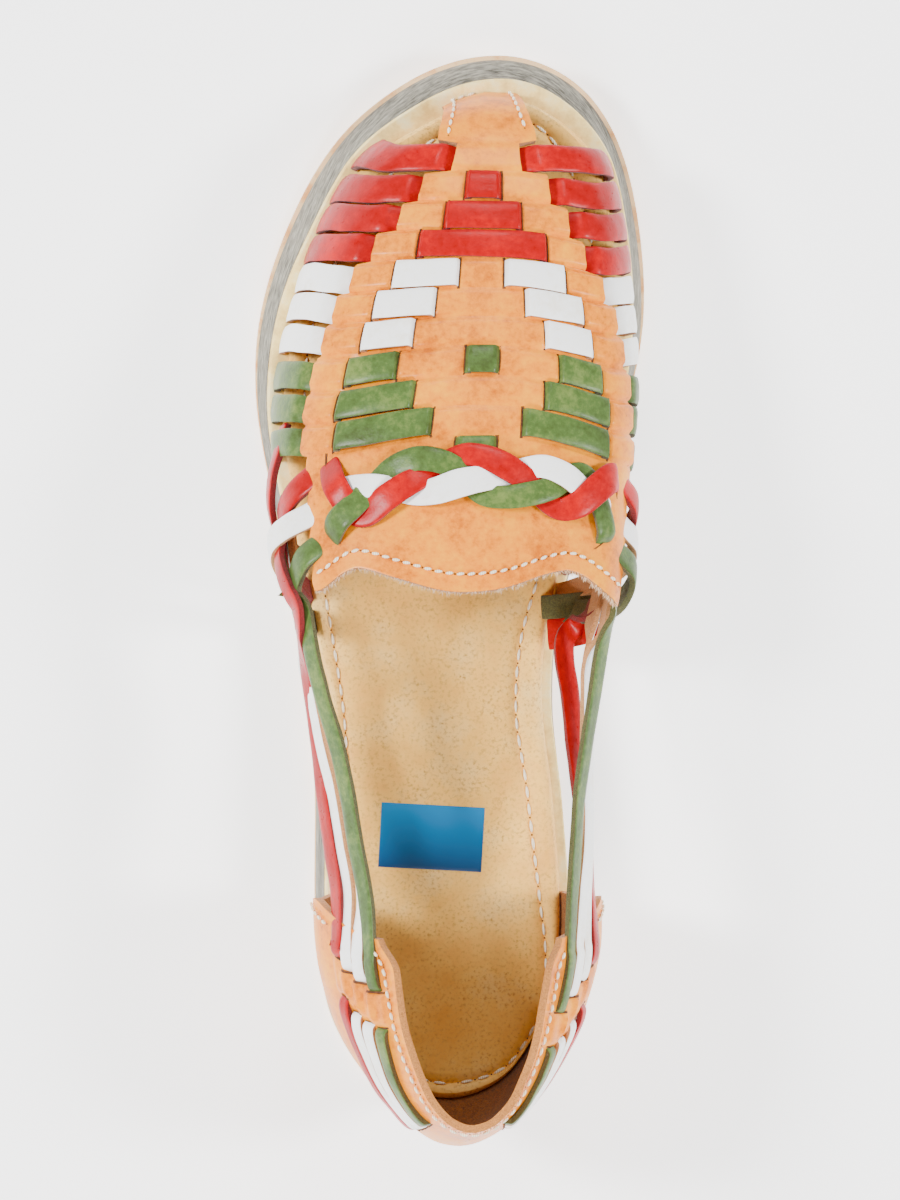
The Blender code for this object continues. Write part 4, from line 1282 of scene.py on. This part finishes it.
def make_row(row, start, end, lift_at, seed):
    """A strap across the vamp, with stations at even steps and more of them at each slot."""
    sizes = bpy.context.scene.huarache_sizes
    places = {start, end}
    steps = int(1 / ROUND_STEP)
    even = [k * ROUND_STEP for k in range(-steps, steps + 1)]
    places |= {place for place in even if start + 0.006 < place < end - 0.006}
    for crossing in row.crossings:
        places = {p for p in places if abs(p - crossing) > 1.6 * SLOT_RAMP or p in (start, end)}
        places |= {crossing + SLOT_RAMP * t for t in (-1.4, -1.0, -0.6, -0.2, 0.2, 0.6, 1.0, 1.4)}
    stations = sorted(p for p in places if start <= p <= end)
    colour = row.name.split("_")[0]

    def place(u, v):
        around = stations[round(v * (len(stations) - 1))]
        offset = 2 * u - 1
        width = sizes.strap_half_width * (1 + 0.03 * noise.noise(Vector((around * 9, seed * 1.9, 4.0))))
        wander = 0.2 * MM * noise.noise(Vector((around * 8 + seed * 5.1, seed * 2.3, offset * 0.3)))
        along = row_along(row, around) + offset * width + wander
        lift = lift_at(around) + sizes.crown * (1 - offset ** 4) - 0.35 * sizes.crown
        lift += 0.12 * MM * noise.noise(Vector((around * 14, offset * 1.2 + seed, seed * 1.7)))
        normal = vamp_normal(along, around)
        point = vamp_face(along, around) + lift * normal
        if abs(around) > 0.985:
            point.z -= 0.25 * MM
        return point, normal, (offset * width, around * ROUND_LENGTH + seed * 0.05)

    made = finish_piece("strap_" + row.name, strip(8, len(stations) - 1, place), with_raw_back(colour),
                        "upper")
    thicken(made, STRAP_THICKNESS, 0.26 * MM)


def wall_path(points, fine=8):
    """Path and normals over the vamp's face through points that name along, round and level."""
    path, normals = [], []
    for along, around, level in spline([Vector(point) for point in points], fine):
        around = max(-1.0, min(1.0, around))
        path.append(vamp_point(along * MM, around, (level + 0.72) * STRAP_THICKNESS))
        normals.append(vamp_normal(along * MM, around))
    return path, normals


def collar_height(turn):
    tip = 3.6 * MM * smooth_step(0.88, 1.0, abs(turn)) ** 1.5
    return COLLAR_BACK - COLLAR_DROP * abs(turn) ** 1.5 - tip


def strap_height(strap, turn):
    """Height of a side strap round the heel."""
    start, end = strap.band
    high, low = strap.heights
    middle = (start + end) / 2
    if turn > middle:
        return (high - BAND_SLOPE * (turn - middle)) * MM
    return (low + (high - low) * smooth_step(BACK_LEVEL_TURN, middle, turn)) * MM


def side_path(strap, fine=8):
    """Path of a side strap: down from the vamp, through the air and round the heel."""
    side = strap.side
    path, normals = wall_path(strap.wall_points, fine)
    points, ways = [path[-1]], [normals[-1]]
    tilt, last_tilt = AIR_TILT[strap.name]
    for number, (along, across, height) in enumerate(strap.air_points):
        points.append(Vector((across * MM, along * MM - HEEL_CENTRE, height * MM)))
        turned = tilt + (last_tilt - tilt) * number / (len(strap.air_points) - 1)
        ways.append(Vector((side, 0.0, turned)).normalized())
    start, end = strap.band
    stations = (
        # turn, lift over the counter
        (0.965, 0.7 * MM),
        (max(0.915, start + 0.045), 1.25 * MM),
        (start + 0.022, 1.0 * MM),
        (start - 0.012, BAND_DEPTH),
        (end + 0.012, BAND_DEPTH),
        (end - 0.024, BACK_LIFT),
        (end - 0.10, BACK_LIFT),
        (0.50, BACK_LIFT),
        (0.38, BACK_LIFT),
        (STRAP_END_TURN + 0.045, BACK_LIFT),
        (STRAP_END_TURN + 0.01, 0.2 * MM),
        (STRAP_END_TURN - 0.03, -1.6 * MM),
    )
    last = 1.0
    for turn, lift in stations:
        if turn >= last:
            continue
        last = turn
        point, normal = counter_point(side * turn, strap_height(strap, turn), lift)
        points.append(point)
        ways.append(normal)
    return path + spline(points, fine)[1:], normals + [way.normalized() for way in spline(ways, fine)[1:]]


def counter_push(turn, height):
    """How the side straps lift the counter leather where they pass under it."""
    push = 0.0
    side = LATERAL if turn < 0 else MEDIAL
    for strap in SIDE_STRAPS:
        if strap.side != side:
            continue
        start, end = strap.band
        away = abs(height - strap_height(strap, abs(turn))) / BAND_REACH
        inside = smooth_step(end - 0.015, end + 0.02, abs(turn))
        inside *= 1 - smooth_step(start - 0.02, start + 0.015, abs(turn))
        push += BAND_HUMP * inside * (1 - smooth_step(0.6, 1.15, away))
    return push


def make_counter():
    def place(u, v):
        turn = 2 * v - 1
        low = feather_height(counter_face(turn, 20 * MM).y + HEEL_CENTRE) - 0.2 * MM
        height = low + (collar_height(turn) - low) * u
        low_front = smooth_step(0.85, 1.0, abs(turn)) * (1 - smooth_step(24 * MM, 42 * MM, height))
        turn *= 1 - COUNTER_FRONT_CUT * low_front
        fold = 0.35 * MM * noise.noise(Vector((turn * 6, height * 60, 3.0)))
        point, normal = counter_point(turn, height, counter_push(turn, height) + fold)
        return point, normal, (height, turn * ROUND_LENGTH)

    # The inner face of the counter takes the darker copy of the raw leather, painted shade for the inside of
    # the heel; its cut edges take the raw tan leather.
    materials = with_raw_back("tan") + [MATERIALS["lining"]]
    made = finish_piece("counter_leather", strip(60, 190, place), materials, "upper")
    thicken(made, COUNTER_THICKNESS * 0.8, 0.3 * MM)
    made.modifiers["thickness"].material_offset = 2
    # Dark strips of painted shade where the side straps pass into and out of the counter's slits, and at
    # their ends.
    slots = bmesh.new()
    for strap in SIDE_STRAPS:
        for around in (strap.band[0] + 0.006, strap.band[1] - 0.006, STRAP_END_TURN):

            def spot(u, v, strap=strap, around=around):
                turn = around + (u - 0.5) * COUNTER_SLOT_TURN
                height = strap_height(strap, around) + (2 * v - 1) * COUNTER_SLOT_REACH
                lift = counter_push(strap.side * turn, height) + 0.42 * MM * math.sin(math.pi * v)
                point, normal = counter_point(strap.side * turn, height, lift)
                return point, normal, (turn, height)

            strip(2, 8, spot, slots)
    finish_piece("counter_slot_edges", slots, [MATERIALS["hole"]], "upper")


def make_fibres():
    """Loose fibres that stand out of the raw edge of the throat."""
    pick = random.Random(5)
    mesh = bmesh.new()
    first, last = THROAT_EDGE[LATERAL] + 0.005, THROAT_EDGE[MEDIAL] - 0.005
    for _ in range(bpy.context.scene.huarache_sizes.fibres):
        around = pick.uniform(first, last)
        along = throat_along(around)
        normal = vamp_normal(along, around)
        root = vamp_point(along + 0.2 * MM, around, pick.uniform(-1.3, -0.1) * MM)
        way = Vector((pick.gauss(0.0, 0.5), -1.0, 0.0)) + normal * pick.gauss(0.0, 0.35)
        way.normalize()
        size = pick.uniform(0.5, 1.5) * MM
        turn = way.to_track_quat("Z", "Y").to_matrix().to_4x4()
        turn.translation = root + way * size / 2
        bmesh.ops.create_cone(mesh, cap_ends=True, segments=4, radius1=0.09 * MM, radius2=0.02 * MM,
                              depth=size, matrix=turn)
    finish_piece("throat_fibres", mesh, [MATERIALS["fibre"]], "upper")


def throat_row(inset):
    """Path and normals of the stitches along the throat."""
    path, normals = [], []
    first, last = THROAT_EDGE[LATERAL] + 0.012, THROAT_EDGE[MEDIAL] - 0.012
    for k in range(221):
        around = first + (last - first) * k / 220
        along = throat_along(around) + inset
        path.append(vamp_point(along, around, 0.1 * MM))
        normals.append(vamp_normal(along, around))
    return path, normals


# Operators

class OBJECT_OT_huarache_sole(bpy.types.Operator):
    """Outsole, ground midsole and cream welt"""

    bl_idname = "object.huarache_sole"
    bl_label = "Sole layers"

    def execute(self, context):
        slab("outsole_crepe", (
            (lambda a, s: 0.9 * MM, ground),
            (lambda a, s: 0.25 * MM, lambda a: ground(a) + 0.25 * MM),
            (lambda a, s: 0.0, lambda a: ground(a) + 0.9 * MM),
            (lambda a, s: 0.0, lambda a: ground(a) + OUTSOLE_THICKNESS - 0.2 * MM),
            (lambda a, s: 0.2 * MM, lambda a: ground(a) + OUTSOLE_THICKNESS),
        ), MATERIALS["outsole"], "outsole")
        steps = 6
        layers = []
        for k in range(steps + 1):
            share = k / steps
            layers.append((
                lambda a, s, t=share: midsole_foot(a) + (welt_edge(a, s) - midsole_foot(a)) * t,
                lambda a, t=share: (1 - t) * (ground(a) + OUTSOLE_THICKNESS) + t * bed(a),
            ))
        slab("midsole_wedge", layers, MATERIALS["midsole"], "midsole")

        def welt_inset(further):
            return lambda a, s: welt_edge(a, s) + further * MM

        slab("welt_foam", (
            (welt_inset(0.15), lambda a: bed(a) + 0.05 * MM),
            (welt_inset(0.1), lambda a: bed(a) + 1.2 * MM),
            (welt_inset(0.3), lambda a: welt_top(a) - 0.9 * MM),
            (welt_inset(0.65), lambda a: welt_top(a) - 0.25 * MM),
            (welt_inset(1.2), welt_top),
        ), MATERIALS["welt"], "welt")
        return {"FINISHED"}


class OBJECT_OT_huarache_insole(bpy.types.Operator):
    """Padded insole with its rolled edge, sewn seam and blank sticker"""

    bl_idname = "object.huarache_insole"
    bl_label = "Insole"

    def execute(self, context):
        def part_way(share, beyond=0.0):
            return lambda a, s: pad_inset(a, s) + (seam_inset(a, s) - pad_inset(a, s)) * share + beyond * MM

        def over(height):
            return lambda a: insole_top(a) + height * MM

        layers = [
            (lambda a, s: pad_inset(a, s) + 0.9 * MM, lambda a: feather_height(a) - 0.2 * MM),
            (lambda a, s: pad_inset(a, s) + 0.1 * MM, lambda a: feather_height(a) + 0.8 * MM),
            (part_way(0.0), lambda a: feather_height(a) + 2.2 * MM),
            (part_way(0.07), over(-0.9)),
            (part_way(0.2), over(0.1)),
            (part_way(0.4), over(0.55)),
            (part_way(0.6), over(0.5)),
            (part_way(0.8), over(0.1)),
            (part_way(0.93), over(-0.5)),
            (part_way(1.0), over(-0.9)),
            (part_way(1.0, 0.5), over(-0.55)),
            (part_way(1.0, 1.3), over(-0.1)),
            (part_way(1.0, 2.4), over(0.05)),
        ]
        made = slab("insole_pad", layers, MATERIALS["insole"], "insole", rungs=26)
        seam = outline(150, seam_inset)
        path = [Vector((x, a - HEEL_CENTRE, insole_top(a) - 0.62 * MM)) for x, a in seam + seam[:1]]
        sizes = context.scene.huarache_sizes
        stitches("insole_seam", path, [Vector((0, 0, 1))] * len(path), INSOLE_STITCH, sizes.thread,
                 node="insole")
        self.make_sticker()
        return {"FINISHED"}

    def make_sticker(self):
        turn = Matrix.Rotation(math.radians(STICKER["turn"]), 2)
        width, depth = STICKER["size"]

        def place(u, v):
            flat = turn @ Vector(((u - 0.5) * width, (v - 0.5) * depth))
            across, along = (STICKER["middle"][0] + flat.x) * MM, (STICKER["middle"][1] + flat.y) * MM
            lift = 0.18 * MM + 0.05 * MM * noise.noise(Vector((flat.x * 0.3, flat.y * 0.3, 1.0)))
            spot = Vector((across, along - HEEL_CENTRE, insole_top(along) + lift))
            return spot, Vector((0, 0, 1)), (u, v)

        made = finish_piece("blank_sticker", strip(24, 16, place), [MATERIALS["label"]],
                            "insole")
        thicken(made, 0.22 * MM, 0.05 * MM)


class OBJECT_OT_huarache_vamp(bpy.types.Operator):
    """Vamp leather with dark strips of painted shade at its slots, toe tab, throat stitches and loose fibres
    """

    bl_idname = "object.huarache_vamp"
    bl_label = "Vamp leather"

    def execute(self, context):
        make_vamp()
        make_slot_shades()
        make_fibres()
        sizes = context.scene.huarache_sizes
        path, normals = throat_row(THROAT_SEAM_INSET)
        stitches("throat_stitches", path, normals, sizes.stitch, sizes.thread, slant=0.18)
        for side, word in ((LATERAL, "lateral"), (MEDIAL, "medial")):
            path, normals = [], []
            for k in range(40):
                along = TAB_SEAM[0] + (TAB_SEAM[1] - TAB_SEAM[0]) * k / 39
                around = tab_round(along, side, TAB_SEAM_INSET)
                path.append(vamp_point(along, around, 0.1 * MM))
                normals.append(vamp_normal(along, around))
            stitches("tab_stitches_" + word, path, normals, sizes.stitch, sizes.thread)
        return {"FINISHED"}


class OBJECT_OT_huarache_straps(bpy.types.Operator):
    """Straps woven across the vamp"""

    bl_idname = "object.huarache_straps"
    bl_label = "Vamp straps"

    def execute(self, context):
        for seed, row in enumerate(ROWS):
            make_row(row, -1.0, 1.0, lambda around, row=row: strap_lift(around, row.crossings), seed)
        start, end = SHORT_ROW.crossings

        def short_lift(around):
            up = smooth_step(start - SLOT_RAMP, start + SLOT_RAMP, around)
            down = smooth_step(end - SLOT_RAMP, end + SLOT_RAMP, around)
            return UNDER_LIFT + (OVER_LIFT - UNDER_LIFT) * (up - down)

        make_row(SHORT_ROW, *SHORT_ROW_ENDS, short_lift, 20)
        return {"FINISHED"}


class OBJECT_OT_huarache_braid(bpy.types.Operator):
    """Braid of three strands over the instep and the strands' ends at the sides"""

    bl_idname = "object.huarache_braid"
    bl_label = "Braid"

    def execute(self, context):
        crown = context.scene.huarache_sizes.crown
        for seed, (colour, strand) in enumerate(BRAID.items()):
            rows = spline([Vector(row) for row in strand], 9)
            path = [vamp_point(a * MM, r, (level + 0.78) * STRAP_THICKNESS) for a, r, level, width in rows]
            normals = [vamp_normal(a * MM, r) for a, r, level, width in rows]
            band("braid_" + colour, path, normals, [row[3] * MM for row in rows], crown,
                 with_raw_back(colour), depth=BRAID_THICKNESS, seed=40 + seed)
        for seed, (name, colour, half, points) in enumerate(WAIST_STRAPS):
            path, normals = wall_path(points)
            band(name, path, normals, [half * MM] * len(path), crown, with_raw_back(colour), seed=70 + seed)
        for seed, (name, face, back, half, points) in enumerate(INNER_STRAPS):
            path = spline([Vector((x * MM, along * MM - HEEL_CENTRE, z * MM)) for along, x, z in points], 8)
            band(name, path, [Vector((-0.6, 0.0, 0.8))] * len(path), [half * MM] * len(path), crown,
                 [MATERIALS[face], MATERIALS[back]], depth=SIDE_STRAP_THICKNESS, seed=90 + seed)
        return {"FINISHED"}


class OBJECT_OT_huarache_side_straps(bpy.types.Operator):
    """Four long straps on each side"""

    bl_idname = "object.huarache_side_straps"
    bl_label = "Side straps"

    def execute(self, context):
        crown = context.scene.huarache_sizes.crown
        for seed, strap in enumerate(SIDE_STRAPS):
            path, normals = side_path(strap)
            widths = []
            for point in path:
                wider = (1 - WIDTH_ON_COUNTER) * smooth_step(*WIDTH_CHANGE, point.y + HEEL_CENTRE)
                widths.append(strap.half_width * MM * (WIDTH_ON_COUNTER + wider))
            band("side_" + strap.name, path, normals, widths, crown * 0.7, with_raw_back(strap.colour),
                 depth=SIDE_STRAP_THICKNESS, seed=50 + seed)
        return {"FINISHED"}


class OBJECT_OT_huarache_counter(bpy.types.Operator):
    """Heel counter with its stitched collar"""

    bl_idname = "object.huarache_counter"
    bl_label = "Heel counter"

    def execute(self, context):
        make_counter()
        sizes = context.scene.huarache_sizes
        path, normals = [], []
        for k in range(181):
            turn = COUNTER_SEAM_TURN * (2 * k / 180 - 1)
            point, normal = counter_point(turn, collar_height(turn) - COLLAR_SEAM_INSET, 0.15 * MM)
            path.append(point)
            normals.append(normal)
        stitches("collar_stitches", path, normals, sizes.stitch, sizes.thread, slant=0.15)
        for side, name in ((LATERAL, "lateral"), (MEDIAL, "medial")):
            turn = side * COUNTER_SEAM_TURN
            front = [counter_point(turn, height * MM, 0.15 * MM) for height in range(*FRONT_SEAM)]
            stitches(name + "_front_stitches", [spot[0] for spot in front], [spot[1] for spot in front],
                     sizes.stitch, sizes.thread)
        return {"FINISHED"}


class OBJECT_OT_huarache_stage(bpy.types.Operator):
    """Floor, studio light and camera"""

    bl_idname = "object.huarache_stage"
    bl_label = "Studio"

    def execute(self, context):
        mesh = bmesh.new()
        bmesh.ops.create_grid(mesh, x_segments=1, y_segments=1, size=FLOOR_HALF)
        data = bpy.data.meshes.new("floor")
        mesh.to_mesh(data)
        mesh.free()
        floor = bpy.data.objects.new("floor", data)
        context.scene.collection.objects.link(floor)
        data.materials.append(MATERIALS["floor"])

        world = bpy.data.worlds.new("studio")
        world.use_nodes = True
        world.node_tree.nodes["Background"].inputs["Color"].default_value = (1.0, 1.0, 1.0, 1.0)
        world.node_tree.nodes["Background"].inputs["Strength"].default_value = WORLD_LIGHT
        context.scene.world = world
        target = Vector(LAMP_TARGET)
        for name, place, size, power in LAMPS:
            data = bpy.data.lights.new(name, "AREA")
            data.shape = "DISK"
            data.size = size
            data.energy = power
            lamp = bpy.data.objects.new(name, data)
            lamp.location = place
            lamp.rotation_euler = (target - Vector(place)).to_track_quat("-Z", "Y").to_euler()
            context.scene.collection.objects.link(lamp)

        tilt = math.radians(CAMERA_TILT)
        data = bpy.data.cameras.new("camera")
        data.sensor_width = CAMERA_SENSOR
        data.lens = CAMERA_LENS
        camera = bpy.data.objects.new("camera", data)
        right = Vector((math.cos(tilt), 0.0, math.sin(tilt)))
        back = Vector((-math.sin(tilt), 0.0, math.cos(tilt)))
        turn = Matrix((right, Vector((0.0, 1.0, 0.0)), back)).transposed().to_4x4()
        turn.translation = Vector(CAMERA_TARGET) + back
        camera.matrix_world = turn
        context.scene.collection.objects.link(camera)
        context.scene.camera = camera
        return {"FINISHED"}


class VIEW3D_PT_huarache(bpy.types.Panel):
    """Lists the steps that build the sandal"""

    bl_label = "Huarache"
    bl_idname = "VIEW3D_PT_huarache"
    bl_space_type = "VIEW_3D"
    bl_region_type = "UI"
    bl_category = "Huarache"

    def draw(self, context):
        for group in (context.scene.huarache_sizes, context.scene.huarache_colours):
            for key in group.__annotations__:
                self.layout.prop(group, key)
        for step in STEPS:
            self.layout.operator(step.bl_idname)


STEPS = (
    OBJECT_OT_huarache_stage,
    OBJECT_OT_huarache_sole,
    OBJECT_OT_huarache_insole,
    OBJECT_OT_huarache_vamp,
    OBJECT_OT_huarache_straps,
    OBJECT_OT_huarache_braid,
    OBJECT_OT_huarache_side_straps,
    OBJECT_OT_huarache_counter,
)
CLASSES = (HuaracheSizes, HuaracheColours) + STEPS + (VIEW3D_PT_huarache,)


def register():
    for each in CLASSES:
        bpy.utils.register_class(each)
    bpy.types.Scene.huarache_sizes = PointerProperty(type=HuaracheSizes)
    bpy.types.Scene.huarache_colours = PointerProperty(type=HuaracheColours)


def unregister():
    del bpy.types.Scene.huarache_colours
    del bpy.types.Scene.huarache_sizes
    for each in reversed(CLASSES):
        bpy.utils.unregister_class(each)


def main():
    register()
    make_materials()
    bpy.ops.object.huarache_stage()
    bpy.ops.object.huarache_sole()
    bpy.ops.object.huarache_insole()
    bpy.ops.object.huarache_vamp()
    bpy.ops.object.huarache_straps()
    bpy.ops.object.huarache_braid()
    bpy.ops.object.huarache_side_straps()
    bpy.ops.object.huarache_counter()


if __name__ == "__main__":
    main()
